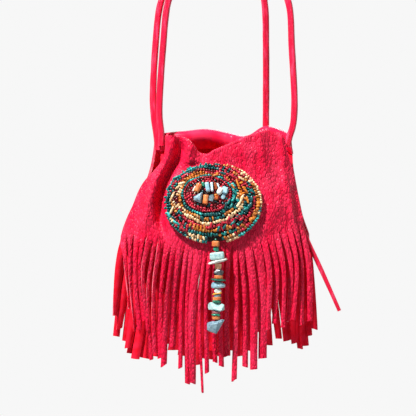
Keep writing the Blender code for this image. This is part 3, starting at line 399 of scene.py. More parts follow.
# Long chips and bugles laid over the rows, in the same order of values.
LONG_CHIPS = (
    (-32.2, -160.3, 7.6, 1.5, 23, "cream"), (-32.5, -169.0, 5.6, 1.6, 25, "cream"),
    (-26.2, -151.7, 4.8, 1.6, 75, "cream"), (-28.6, -154.2, 4.4, 1.5, 48, "cream"),
    (-30.0, -147.9, 5.0, 1.7, 62, "teal"), (-33.8, -153.6, 4.6, 1.7, 30, "teal"),
    (-35.6, -161.5, 4.6, 1.8, 14, "teal_dark"), (-34.4, -172.2, 4.8, 1.8, -34, "turquoise"),
    (-29.6, -177.2, 5.4, 1.7, -58, "turquoise"), (-31.4, -174.2, 4.4, 1.6, -50, "teal_dark"),
    (-25.6, -181.2, 4.0, 1.6, -50, "crimson"), (-22.8, -183.4, 3.6, 1.6, -20, "maroon"),
    (10.1, -151.7, 5.8, 1.5, -20, "orange"), (15.0, -156.0, 6.0, 1.5, -36, "orange"),
    (19.6, -157.1, 4.6, 1.7, -62, "teal"), (16.4, -162.5, 5.0, 1.5, -14, "orange"),
    (12.8, -161.4, 5.4, 1.9, 26, "cream"), (10.6, -165.4, 4.4, 1.8, 34, "cream"),
    (19.0, -161.6, 4.4, 2.0, 12, "teal_dark"), (18.2, -165.8, 4.4, 2.1, 24, "teal_dark"),
    (15.2, -168.4, 4.6, 2.0, 60, "teal"), (20.4, -152.8, 4.0, 1.6, -52, "ochre"),
    (4.4, -163.4, 4.2, 1.6, 24, "teal"), (7.2, -162.0, 4.0, 1.6, 38, "turquoise"),
    (2.4, -166.0, 4.4, 1.7, 10, "teal_dark"), (5.8, -166.6, 4.0, 1.6, 30, "teal"),
    (8.6, -157.6, 4.2, 1.6, -30, "teal"), (7.0, -153.8, 4.0, 1.7, -40, "ochre"),
    (-18.0, -179.6, 3.8, 1.5, 8, "ochre"), (-15.8, -180.2, 4.0, 1.5, 4, "ochre"),
    (-13.6, -180.4, 3.9, 1.5, -2, "orange"), (-11.4, -180.2, 3.8, 1.5, -6, "ochre"),
    (-20.4, -178.4, 3.6, 1.5, 16, "ochre"), (-2.4, -181.2, 4.0, 1.6, 20, "teal"),
    (1.6, -179.8, 4.2, 1.7, 34, "teal_dark"), (6.8, -177.4, 4.4, 1.7, 48, "teal"),
    (4.2, -175.0, 4.0, 1.6, 20, "crimson"), (9.4, -173.8, 4.2, 1.7, 36, "teal_dark"),
    (12.6, -174.6, 3.8, 1.6, 50, "crimson"), (-7.0, -178.6, 3.6, 1.6, 6, "crimson"),
    (-23.6, -146.4, 4.4, 1.6, 56, "crimson"), (0.6, -145.2, 4.2, 1.6, -70, "teal_dark"),
    (6.4, -147.0, 4.0, 1.6, -60, "crimson"), (12.4, -148.6, 4.6, 1.5, -56, "cream"),
    (2.6, -149.4, 3.8, 1.6, -44, "crimson"), (-4.6, -146.6, 3.6, 1.6, 70, "ochre"))

BEAD_NODES = {"crimson": "bead_row_crimson", "teal": "bead_row_teal", "ochre": "bead_row_ochre",
              "maroon": "bead_row_mixed", "cream": "bead_row_cream", "teal_dark": "bead_row_border"}

# Stones of the centre: node, shape, x, z, width, height, thickness, tilt, colour.
CENTRE_STONES = (
    ("stone_pyramid", "pyramid", -15.6, -160.7, 6.4, 7.6, 4.2, 8, "blue_grey"),
    ("stone_tube_orange", "tube", -15.6, -154.6, 3.6, 5.8, 3.4, 24, "orange"),
    ("stone_bead_green", "round", -12.2, -152.3, 2.3, 3.4, 2.4, -24, "green"),
    ("stone_bar_blue", "block", -9.4, -154.2, 2.7, 6.4, 2.8, -8, "blue"),
    ("stone_bar_blue_thin", "block", -6.6, -154.1, 1.7, 6.2, 2.4, -4, "pale_blue"),
    ("stone_sliver_amber", "block", -4.2, -153.6, 1.6, 4.8, 2.4, -10, "amber"),
    ("stone_oval_white", "round", -1.4, -156.8, 3.6, 5.2, 3.0, 28, "white"),
    ("stone_tube_orange_low", "tube", -10.6, -162.2, 3.4, 6.2, 3.2, 6, "orange"),
    ("stone_bead_grey", "chip", -6.9, -161.2, 3.6, 4.4, 2.8, 20, "grey_blue"),
    ("stone_chip_amber", "chip", -3.6, -161.0, 2.9, 3.6, 2.2, 10, "amber"),
    ("stone_chip_blue", "chip", 0.6, -160.6, 2.6, 3.0, 2.4, 28, "blue"),
)
# Small stones tucked in beside them, which replace no node.
TUCKED_STONES = (
    ("chip_blue_square", "chip", 1.7, -156.4, 4.6, 5.0, 2.6, 18, "blue"),
    ("sliver_pale", "block", -2.6, -153.2, 1.1, 3.4, 1.8, -22, "pale_blue"),
    ("sliver_cream", "block", -17.9, -155.2, 1.0, 4.0, 1.6, 26, "white"),
)
PYRAMID_CORNERS = (
    (0.42, 0.10, 0.58), (-0.50, 0.12, -0.02), (-0.36, 0.10, -0.32), (0.42, 0.12, -0.50),
    (0.30, -0.42, 0.30), (-0.16, -0.46, -0.06), (0.26, -0.50, -0.30), (0.0, 0.45, 0.0))
# Beads of the dangle: node, body, shape, size, tilt, colour.
DANGLE_BEADS = (
    ("bead_orange_tube", "dangle_top", "tube", (5.0, 5.0, 3.5), 3, "orange"),
    ("bead_green_ball", "dangle_top", "round", (3.9, 3.7, 3.4), 0, "green"),
    ("bead_aqua_block", "dangle_upper", "block", (9.6, 6.0, 4.8), -8, "aqua"),
    ("bead_white_disc", "dangle_upper", "disc", (12.6, 7.6, 2.0), -14, "white"),
    ("bead_peach_ball", "dangle_upper", "tube", (4.2, 4.0, 3.6), 6, "peach"),
    ("bead_grey_chip", "dangle_middle", "chip", (6.4, 5.2, 4.8), 22, "dark_grey"),
    ("bead_orange_disc", "dangle_middle", "tube", (5.7, 5.4, 2.3), 4, "orange"),
    ("bead_dark_green_ring", "dangle_middle", "disc", (9.6, 7.8, 1.6), 5, "dark_green"),
    ("bead_blue_block", "dangle_middle", "chip", (9.8, 6.0, 4.6), -4, "blue"),
    ("bead_white_ball", "dangle_middle", "chip", (4.8, 4.4, 3.6), 25, "white"),
    ("bead_grey_blue_disc", "dangle_lower", "tube", (4.8, 4.4, 1.8), -6, "grey_blue"),
    ("bead_orange_disc_low", "dangle_lower", "tube", (5.6, 5.4, 2.2), -5, "orange"),
    ("bead_green_disc", "dangle_lower", "tube", (5.6, 5.4, 1.6), 3, "green"),
    ("bead_aqua_nugget", "dangle_lower", "chip", (11.2, 7.0, 5.4), 6, "aqua"),
    ("bead_lilac_disc", "dangle_lower", "tube", (5.4, 5.0, 1.8), 8, "lilac"),
    ("bead_green_ring", "dangle_lower", "disc", (6.0, 5.6, 1.5), 4, "green"),
    ("bead_orange_tube_low", "dangle_lower", "tube", (5.0, 4.8, 2.3), 2, "orange"),
    ("bead_blue_pyramid", "dangle_lower", "wedge", (12.0, 8.6, 10.0), 0, "blue_grey"),
)
# The dangle's last stone: corners as shares of its size, wide above and pointed below.
WEDGE_CORNERS = (
    (-0.50, 0.05, 0.26), (-0.49, 0.0, -0.26), (-0.26, -0.50, 0.20), (0.02, -0.34, -0.42),
    (0.04, 0.0, -0.50), (0.16, -0.46, 0.30), (0.50, -0.10, 0.50), (0.44, 0.30, 0.34), (0.0, 0.50, 0.24),
    (-0.30, 0.42, 0.10), (0.08, 0.10, 0.44), (-0.34, 0.30, -0.30))
CUT_SHAPES = {"pyramid": PYRAMID_CORNERS, "wedge": WEDGE_CORNERS}
# Tumbled shapes: squareness seen from above and from the side, and depth of the dents.
TUMBLED_SHAPES = {"tube": (2.0, 7.0, 0.05), "round": (2.0, 2.4, 0.06), "disc": (2.3, 3.0, 0.10),
                  "block": (5.0, 5.0, 0.07), "ring": (2.0, 2.6, 0.06)}
STONE_SIDES = 36
STONE_RINGS = 22
DENT_TURNS = 1.3
FINE_DENT_TURNS = 4.0
FINE_DENT_SHARE = 0.3
# Chips and cut stones: corners, squareness, width of the worn edges as a share of the least size, the
# angle under which neighbouring faces become one, and the angle over which an edge stays sharp.
CHIP_CORNERS = 18
CHIP_BOXINESS = 4.0
CHIP_WEAR = 0.11
CUT_WEAR = 0.06
WORN_STEPS = 3
FLAT_ANGLE = math.radians(4.0)
CUT_ANGLE = math.radians(30.0)
CENTRE_STAND = 0.35
CENTRE_SEED = 3
DANGLE_SEED = 21
# A yellow shell ring under the white chip of the dangle: its size, tilt, seed and place from that chip.
SHELL_CHIP = "bead_white_ball"
SHELL_SIZE = (6.6, 5.2, 1.1)
SHELL_TILT = -9
SHELL_SEED = 50
SHELL_MOVED = (-0.4, 0.0, -1.5)

# Slots of the stones' colours.
# Stones: material name, colour in the hollows, colour on the faces, colour of the veins (display
# values), size of the speckles, size of the clouds and roughness.
STONE_COLOURS = {
    "orange": ("coral_orange", (196, 92, 36), (238, 148, 84), (150, 62, 28), 0.6, 2.4, 0.35),
    "green": ("malachite_green", (8, 92, 72), (36, 158, 124), (6, 52, 44), 0.5, 2.0, 0.25),
    "dark_green": ("deep_green", (4, 62, 52), (20, 112, 92), (4, 36, 32), 0.5, 2.4, 0.2),
    "aqua": ("pale_aqua", (138, 186, 188), (206, 236, 232), (104, 140, 140), 0.45, 2.2, 0.4),
    "blue": ("sky_blue", (110, 160, 180), (176, 214, 224), (88, 118, 134), 0.5, 2.8, 0.35),
    "pale_blue": ("ice_blue", (170, 206, 214), (222, 238, 240), (130, 160, 170), 0.5, 2.8, 0.3),
    "blue_grey": ("slate_blue", (104, 142, 162), (162, 194, 206), (82, 104, 120), 0.6, 3.2, 0.32),
    "grey_blue": ("grey_blue", (88, 120, 132), (148, 176, 182), (56, 74, 84), 0.5, 2.0, 0.3),
    "white": ("shell_white", (206, 212, 204), (240, 240, 232), (170, 170, 160), 0.6, 3.6, 0.28),
    "peach": ("peach_stone", (222, 160, 116), (244, 200, 160), (180, 118, 84), 0.5, 2.4, 0.35),
    "dark_grey": ("dark_grey", (34, 40, 44), (92, 100, 104), (16, 18, 20), 0.4, 1.8, 0.25),
    "lilac": ("lilac_stone", (134, 62, 70), (182, 118, 124), (92, 34, 44), 0.5, 2.0, 0.35),
    "amber": ("amber", (132, 52, 14), (206, 98, 34), (84, 26, 8), 0.6, 2.0, 0.2),
    "yellow": ("yellow_shell", (216, 142, 24), (244, 186, 62), (172, 96, 16), 0.6, 2.4, 0.3),
}
# Depth of the stones' pits. The dark grey one is rougher.
STONE_PITS = 0.08
STONE_DEEP_PITS = {"dark_grey": 0.14}
# Beads: darkest and lightest shade (display values) and roughness.
BEAD_COLOURS = {
    "crimson": ((122, 8, 24), (206, 38, 62), 0.3),
    "maroon": ((48, 4, 8), (118, 12, 20), 0.22),
    "teal": ((2, 70, 74), (14, 132, 126), 0.3),
    "teal_dark": ((2, 46, 54), (8, 92, 92), 0.24),
    "turquoise": ((10, 118, 118), (58, 190, 182), 0.3),
    "ochre": ((136, 64, 14), (210, 132, 56), 0.38),
    "orange": ((176, 84, 14), (228, 134, 40), 0.32),
    "cream": ((208, 160, 108), (244, 218, 176), 0.42),
}

# Leather colours, as display values of red, green and blue.
RED = (240, 14, 64)
RED_DEEP = (128, 0, 10)
# Painted sheen: the light pink laid over the leather in random patches and on the lace's high spots.
RED_PAINTED_SHEEN = (255, 92, 134)
SUEDE_RED = (230, 8, 36)
SUEDE_PALE = (234, 30, 62)
# Cut edges are paler than the grain side, and made paler still as a painted highlight along the strips.
CUT_PINK = (252, 132, 150)
CUT_RED = (234, 56, 88)
LINING_DEEP = (160, 6, 26)
LINING_RED = (206, 10, 36)
# Painted sheen of the lining, laid in random patches like the leather's.
LINING_PAINTED_SHEEN = (222, 32, 60)
SHEEN_PINK = (255, 170, 180)
FELT_DARK = (16, 3, 6)
FELT_LIGHT = (48, 8, 14)
THREAD_DARK = (30, 26, 24)
THREAD_LIGHT = (78, 66, 56)
LEATHER_SHINE = 0.16
# Where the casing is pulled smooth: the height it starts at and the run it takes.
CASING_SMOOTH = -137.0
SMOOTH_RUN = 5.0
# Pebbles: size and reach of their unevenness against their own size, width of the furrows between
# them, and width and darkness of the painted shade line in each.
PEBBLE_WARP_SIZE = 1.8
PEBBLE_WARP = 0.4
FURROW_WIDTH = 0.36
FURROW_SHADE_WIDTH = 0.13
FURROW_SHADE_MOST = 0.55
# Slow changes of colour: sizes of the deeper places and of the patches of painted pink sheen, and the most
# sheen.
MOTTLE_SIZE = 11.0
SHEEN_PATCH_SIZE = 9.0
SHEEN_PATCH_MOST = 0.22
# Drawn creases: how much longer than wide they are, and their width.
CREASE_STRETCH = 3.2
CREASE_SIZE = 2.0

# Runs of a noise, from its low to its high end, over which one look passes into another.
SOFT_RUN = (0.3, 0.7)
MOTTLE_RUN = (0.22, 0.60)
SHEEN_PATCH_RUN = (0.34, 0.70)
CREASE_RUN = (0.30, 0.66)
GLOSS_RUN = (0.25, 0.75)
NAP_RUN = (0.55, 0.3)
LACE_SHEEN_RUN = (0.5, 0.75)
CLOUD_RUN = (0.3, 0.68)
DOT_RUN = (0.60, 0.72)
SHADE_RUN = (0.32, 0.66)
STREAK_RUN = (0.55, 0.75)
# Change of the roughness at the low and at the high end of its noise, and the lace's own roughness.
LEATHER_GLOSS = (0.07, -0.05)
STONE_GLOSS = (-0.08, 0.12)
BEAD_GLOSS = (-0.06, 0.14)
LACE_ROUGHNESS = (0.40, 0.28)
# Shares: of the base colour in the mottles, of nap, the lace's painted highlight, dots, veins and streaks
# at their most, and of the clouds in a stone's height.
MOTTLE_BASE = 0.9
LACE_MOTTLE_BASE = 0.7
SHEEN_PATCH_LEAST = 0.02
NAP_MOST = 0.4
LACE_SHEEN_MOST = 0.5
DOT_MOST = 0.45
VEIN_MOST = 0.5
STREAK_MOST = 0.3
CLOUD_HEIGHT = 0.8
# Widths of furrows, as shares of their cells: the lace's grain, a stone's veins and the felt's thread.
LACE_FURROW = 0.3
VEIN_WIDTH = 0.06
FELT_THREAD = 0.2


def smooth_value(points, where):
    """Value at `where` of a smooth curve through (place, value) points in rising order."""
    if where <= points[0][0]:
        return points[0][1]
    if where >= points[-1][0]:
        return points[-1][1]
    last = len(points) - 1
    k = next(i for i in range(last) if where <= points[i + 1][0])

    def slope(i):
        before, after = points[max(i - 1, 0)], points[min(i + 1, last)]
        return (after[1] - before[1]) / (after[0] - before[0])

    (start, low), (end, high) = points[k], points[k + 1]
    span = end - start
    t = (where - start) / span
    return ((2 * t ** 3 - 3 * t ** 2 + 1) * low + (t ** 3 - 2 * t ** 2 + t) * span * slope(k)
            + (3 * t ** 2 - 2 * t ** 3) * high + (t ** 3 - t ** 2) * span * slope(k + 1))


def ease(t):
    """0 to 1 with a soft start and a soft end."""
    t = min(max(t, 0.0), 1.0)
    return t * t * (3.0 - 2.0 * t)


def lerp(start, end, t):
    """The value at a share of the way."""
    return start + (end - start) * t


def lerp_colour(start, end, t):
    """The colour at a share of the way."""
    return tuple(lerp(a, b, t) for a, b in zip(start, end))


def linear(red, green, blue):
    """Scene colour of an 0-255 display colour."""
    return tuple((c / 255 / 12.92) if c < 11 else ((c / 255 + 0.055) / 1.055) ** 2.4
                 for c in (red, green, blue))


def ring_faces(rings, sides, first=0):
    """Quads between neighbouring rings of points, from the point with number `first` on."""
    faces = []
    for ring in range(rings - 1):
        for k in range(sides):
            a, b = first + ring * sides + k, first + ring * sides + (k + 1) % sides
            faces.append((a, b, b + sides, a + sides))
    return faces


def link(name, data):
    """A new object with that data, in the scene."""
    made = bpy.data.objects.new(name, data)
    bpy.context.scene.collection.objects.link(made)
    return made


def add_object(name, verts, faces, materials, body="pouch"):
    """An object from points in millimetres, riding on a body."""
    mesh = bpy.data.meshes.new(name)
    mesh.from_pydata([tuple(c * MM for c in v) for v in verts], [], faces)
    for finish in materials:
        mesh.materials.append(finish)
    mesh.shade_smooth()
    made = link(name, mesh)
    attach(made, body)
    return made


def thicken(piece, thickness, inner_slot=0, edge_slot=0):
    """Give a sheet its thickness inwards, with materials for its inner side and its cut edge.

    The modifier is applied, and sharp edges are marked."""
    solid = piece.modifiers.new("thickness", "SOLIDIFY")
    solid.thickness = thickness * MM
    solid.offset = -1.0
    solid.material_offset = inner_slot
    solid.material_offset_rim = edge_slot
    graph = bpy.context.evaluated_depsgraph_get()
    mesh = bpy.data.meshes.new_from_object(piece.evaluated_get(graph))
    piece.modifiers.clear()
    old = piece.data
    piece.data = mesh
    bpy.data.meshes.remove(old)
    mesh.name = piece.name
    mesh.shade_smooth()
    mesh.set_sharp_from_angle(angle=SHARP_ANGLE)


class Finish:
    """A material and short calls for its nodes. Texture sizes are in millimetres."""

    def __init__(self, name, roughness=0.5, **constants):
        self.material = bpy.data.materials.new(name)
        self.material.use_nodes = True
        self.nodes = self.material.node_tree.nodes
        self.links = self.material.node_tree.links
        self.shader = self.nodes["Principled BSDF"]
        self.shader.inputs["Roughness"].default_value = roughness
        for socket, value in constants.items():
            self.shader.inputs[socket.replace("_", " ")].default_value = value

    def plug(self, value, socket):
        """Link a socket or set a constant."""
        if isinstance(value, bpy.types.NodeSocket):
            self.links.new(value, socket)
        else:
            socket.default_value = value

    def place(self, stretch=(1.0, 1.0, 1.0), moved=(0.0, 0.0, 0.0)):
        """Object coordinates in millimetres, divided by `stretch`."""
        where = self.nodes.new("ShaderNodeTexCoord").outputs["Object"]
        mapping = self.nodes.new("ShaderNodeMapping")
        mapping.inputs["Scale"].default_value = [1.0 / (MM * s) for s in stretch]
        mapping.inputs["Location"].default_value = moved
        self.links.new(where, mapping.inputs["Vector"])
        return mapping.outputs["Vector"]

    def warp(self, vector, size, amount):
        """Push coordinates about by a noise of that size."""
        texture = self.nodes.new("ShaderNodeTexNoise")
        texture.inputs["Scale"].default_value = 1.0 / size
        texture.inputs["Detail"].default_value = 1.0
        self.links.new(vector, texture.inputs["Vector"])
        centred = self.vector_math("SUBTRACT", texture.outputs["Color"], (0.5, 0.5, 0.5))
        scaled = self.vector_math("MULTIPLY", centred, (amount, amount, amount))
        return self.vector_math("ADD", vector, scaled)

    def vector_math(self, operation, first, second):
        """Arithmetic on two vectors."""
        node = self.nodes.new("ShaderNodeVectorMath")
        node.operation = operation
        self.plug(first, node.inputs[0])
        self.plug(second, node.inputs[1])
        return node.outputs[0]

    def faded(self, value, most):
        """A value times a constant share."""
        return self.math("MULTIPLY", value, most)

    def noise(self, vector, size, detail=2.0, rough=0.5):
        """Soft noise with features of that size."""
        texture = self.nodes.new("ShaderNodeTexNoise")
        texture.inputs["Scale"].default_value = 1.0 / size
        texture.inputs["Detail"].default_value = detail
        texture.inputs["Roughness"].default_value = rough
        self.links.new(vector, texture.inputs["Vector"])
        return texture.outputs["Fac"]

    def furrows(self, vector, size):
        """Distance to the nearest furrow between cells of that size, as a share of the size."""
        texture = self.nodes.new("ShaderNodeTexVoronoi")
        texture.feature = "DISTANCE_TO_EDGE"
        texture.inputs["Scale"].default_value = 1.0 / size
        self.links.new(vector, texture.inputs["Vector"])
        return texture.outputs["Distance"]

    def math(self, operation, first, second=0.0):
        """Arithmetic on two numbers."""
        node = self.nodes.new("ShaderNodeMath")
        node.operation = operation
        self.plug(first, node.inputs[0])
        self.plug(second, node.inputs[1])
        return node.outputs[0]

    def span(self, value, low, high, to_low=0.0, to_high=1.0):
        """The value's run from low to high, eased and mapped to another run."""
        node = self.nodes.new("ShaderNodeMapRange")
        node.interpolation_type = "SMOOTHSTEP"
        ends = {"From Min": low, "From Max": high, "To Min": to_low, "To Max": to_high}
        for name, number in ends.items():
            node.inputs[name].default_value = number
        self.links.new(value, node.inputs["Value"])
        return node.outputs["Result"]

    def gloss(self, value, roughness, changes, run=SOFT_RUN):
        """A roughness that changes by those amounts at the low and at the high end of a noise."""
        return self.span(value, *run, *(roughness + change for change in changes))

    def below(self, height, run):
        """1 under that height in millimetres, fading to 0 over the run above it."""
        split = self.nodes.new("ShaderNodeSeparateXYZ")
        self.links.new(self.place(), split.inputs["Vector"])
        return self.span(split.outputs["Z"], height, height + run, 1.0, 0.0)

    def mix(self, share, first, second):
        """Mix of two colours, each a socket or (r, g, b)."""
        node = self.nodes.new("ShaderNodeMix")
        node.data_type = "RGBA"
        self.plug(share, node.inputs["Factor"])
        colours = [socket for socket in node.inputs if socket.type == "RGBA"]
        for value, socket in zip((first, second), colours):
            self.plug(value if isinstance(value, bpy.types.NodeSocket) else (*value, 1.0), socket)
        return next(socket for socket in node.outputs if socket.type == "RGBA")

    def bump(self, height, depth, under=None):
        """A normal from heights of 0 to 1 that stand for that depth."""
        node = self.nodes.new("ShaderNodeBump")
        node.inputs["Distance"].default_value = depth * MM
        self.links.new(height, node.inputs["Height"])
        if under is not None:
            self.links.new(under, node.inputs["Normal"])
        return node.outputs["Normal"]

    def done(self, colour=None, roughness=None, normal=None):
        """Link what is given to the shader."""
        for name, value in (("Base Color", colour), ("Roughness", roughness), ("Normal", normal)):
            if value is not None:
                self.links.new(value, self.shader.inputs[name])
        return self.material


def leather_finish(name, grain, tall=1.0, depth=0.30, roughness=0.42, creases=0.0, smooth_from=0.0,
                   colours=(RED_DEEP, RED, RED_PAINTED_SHEEN)):
    """Pebbled leather: rounded cells with painted shade in the furrows, mottled colour and patches of
    painted sheen.

    `grain` is the width of a pebble and `tall` its height against that. Above the height `smooth_from`
    the leather is pulled tight and its grain fades out."""
    deep, base, light = (linear(*colour) for colour in colours)
    finish = Finish(name, roughness=roughness, Specular_IOR_Level=LEATHER_SHINE)
    where = finish.warp(finish.place((1.0, 1.0, tall)), PEBBLE_WARP_SIZE * grain, PEBBLE_WARP * grain)
    furrow = finish.furrows(where, grain)
    grained = finish.below(smooth_from, SMOOTH_RUN)
    mottle = finish.noise(finish.place((1.0, 1.0, 1.6)), MOTTLE_SIZE, detail=3.0)
    sheen_patches = finish.noise(finish.place((1.0, 1.0, tall), (7.0, 3.0, 5.0)), SHEEN_PATCH_SIZE)
    colour = finish.mix(finish.span(mottle, *MOTTLE_RUN), lerp_colour(deep, base, MOTTLE_BASE), base)
    # Random patches of painted pink sheen over the colour.
    colour = finish.mix(finish.span(sheen_patches, *SHEEN_PATCH_RUN, SHEEN_PATCH_LEAST, SHEEN_PATCH_MOST), colour, light)
    # Painted shade: a dark line along the middle of each furrow between the pebbles.
    line = finish.math("MULTIPLY", finish.span(furrow, FURROW_SHADE_WIDTH, 0.0),
                       finish.faded(grained, FURROW_SHADE_MOST))
    colour = finish.mix(line, colour, deep)
    pebbles = finish.math("MULTIPLY", finish.span(furrow, 0.0, FURROW_WIDTH), grained)
    normal = finish.bump(pebbles, depth)
    if creases:
        across = finish.warp(finish.place((1.0, 1.0, CREASE_STRETCH)), size=3.0, amount=1.3)
        drawn = finish.span(finish.noise(across, CREASE_SIZE, detail=1.0), *CREASE_RUN)
        normal = finish.bump(finish.math("MULTIPLY", drawn, grained), creases, under=normal)
    return finish.done(colour, finish.gloss(mottle, roughness, LEATHER_GLOSS, GLOSS_RUN), normal)


def suede_finish(name, colour, pale, depth=0.12):
    """The napped flesh side, or a cut edge: matte fibres with a little colour change."""
    colour, pale = linear(*colour), linear(*pale)
    finish = Finish(name, roughness=0.85, Specular_IOR_Level=0.1, Sheen_Weight=0.10, Sheen_Roughness=0.5)
    finish.shader.inputs["Sheen Tint"].default_value = (*linear(*SHEEN_PINK), 1.0)
    nap = finish.noise(finish.place((1.0, 1.0, 2.6)), size=0.35, detail=3.0)
    cloud = finish.noise(finish.place(), size=3.4)
    mixed = finish.mix(finish.span(cloud, *SOFT_RUN), colour, pale)
    mixed = finish.mix(finish.faded(finish.span(nap, *NAP_RUN), NAP_MOST), mixed, colour)
    return finish.done(mixed, normal=finish.bump(nap, depth))


def lace_finish(name):
    """Smooth lace leather: fine lengthwise grain, a soft shine and a painted highlight on its high spots.
    """
    deep, base, light = linear(*RED_DEEP), linear(*RED), linear(*RED_PAINTED_SHEEN)
    finish = Finish(name, roughness=0.36, Specular_IOR_Level=0.3)
    where = finish.warp(finish.place((1.0, 1.0, 1.8)), size=1.4, amount=0.7)
    furrow = finish.furrows(where, size=0.55)
    mottle = finish.noise(finish.place((1.0, 1.0, 3.0)), size=5.0, detail=3.0)
    high = finish.noise(finish.place((1.0, 1.0, 5.0), (2.0, 9.0, 4.0)), size=3.0)
    colour = finish.mix(finish.span(mottle, *SOFT_RUN), lerp_colour(deep, base, LACE_MOTTLE_BASE), base)
    # Painted highlight: the light red laid on the high spots of the bump.
    colour = finish.mix(finish.faded(finish.span(high, *LACE_SHEEN_RUN), LACE_SHEEN_MOST), colour, light)
    normal = finish.bump(finish.span(furrow, 0.0, LACE_FURROW), depth=0.06)
    normal = finish.bump(high, depth=0.25, under=normal)
    return finish.done(colour, finish.span(mottle, *SOFT_RUN, *LACE_ROUGHNESS), normal)


def stone_finish(name, low, high, vein, speckle, cloud_size, roughness, pits):
    """Tumbled stone: clouded colour, darker veins and small pits."""
    finish = Finish(name, roughness=roughness, Specular_IOR_Level=0.5)
    clouded = finish.warp(finish.place(), size=2.5, amount=1.2)
    cloud = finish.noise(clouded, cloud_size, detail=4.0, rough=0.6)
    grain = finish.noise(finish.place(moved=(3.0, 8.0, 1.0)), speckle, detail=3.0, rough=0.6)
    crack = finish.furrows(finish.warp(finish.place(), size=1.6, amount=1.1), cloud_size)
    dots = finish.faded(finish.span(grain, *DOT_RUN), DOT_MOST)
    colour = finish.mix(finish.span(cloud, *CLOUD_RUN), linear(*low), linear(*high))
    veined = finish.faded(finish.span(crack, VEIN_WIDTH, 0.0), VEIN_MOST)
    colour = finish.mix(veined, colour, linear(*vein))
    colour = finish.mix(dots, colour, linear(*vein))
    height = finish.math("SUBTRACT", finish.faded(cloud, CLOUD_HEIGHT), dots)
    return finish.done(colour, finish.gloss(grain, roughness, STONE_GLOSS), finish.bump(height, pits))


def bead_finish(name, dark, light, roughness):
    """Small glass or shell beads: each takes its own shade, with a worn, slightly uneven face."""
    finish = Finish(name, roughness=roughness, Specular_IOR_Level=0.35)
    shade = finish.noise(finish.place(), size=1.9, detail=1.0)
    streak = finish.noise(finish.place(moved=(4.0, 2.0, 6.0)), size=0.5)
    colour = finish.mix(finish.span(shade, *SHADE_RUN), linear(*dark), linear(*light))
    colour = finish.mix(finish.faded(finish.span(streak, *STREAK_RUN), STREAK_MOST), colour, linear(*dark))
    return finish.done(colour, finish.gloss(streak, roughness, BEAD_GLOSS),
                       finish.bump(streak, depth=0.05))


def felt_finish():
    """Dark backing cloth with thread between the beads."""
    finish = Finish("backing_felt", roughness=0.9, Sheen_Weight=0.2)
    fibre = finish.noise(finish.place(), size=0.4, detail=4.0, rough=0.7)
    woven = finish.warp(finish.place((1.0, 1.0, 2.5)), size=1.2, amount=0.8)
    thread = finish.furrows(woven, size=0.9)
    colour = finish.mix(finish.span(fibre, *SOFT_RUN), linear(*FELT_DARK), linear(*FELT_LIGHT))
    height = finish.math("ADD", fibre, finish.span(thread, 0.0, FELT_THREAD))
    return finish.done(colour, normal=finish.bump(height, depth=0.2))


def thread_finish():
    """Dark waxed thread."""
    finish = Finish("waxed_thread", roughness=0.55)
    strand = finish.noise(finish.place((1.0, 1.0, 0.5)), size=0.3)
    colour = finish.mix(finish.span(strand, *SOFT_RUN), linear(*THREAD_DARK), linear(*THREAD_LIGHT))
    return finish.done(colour, normal=finish.bump(strand, depth=0.1))


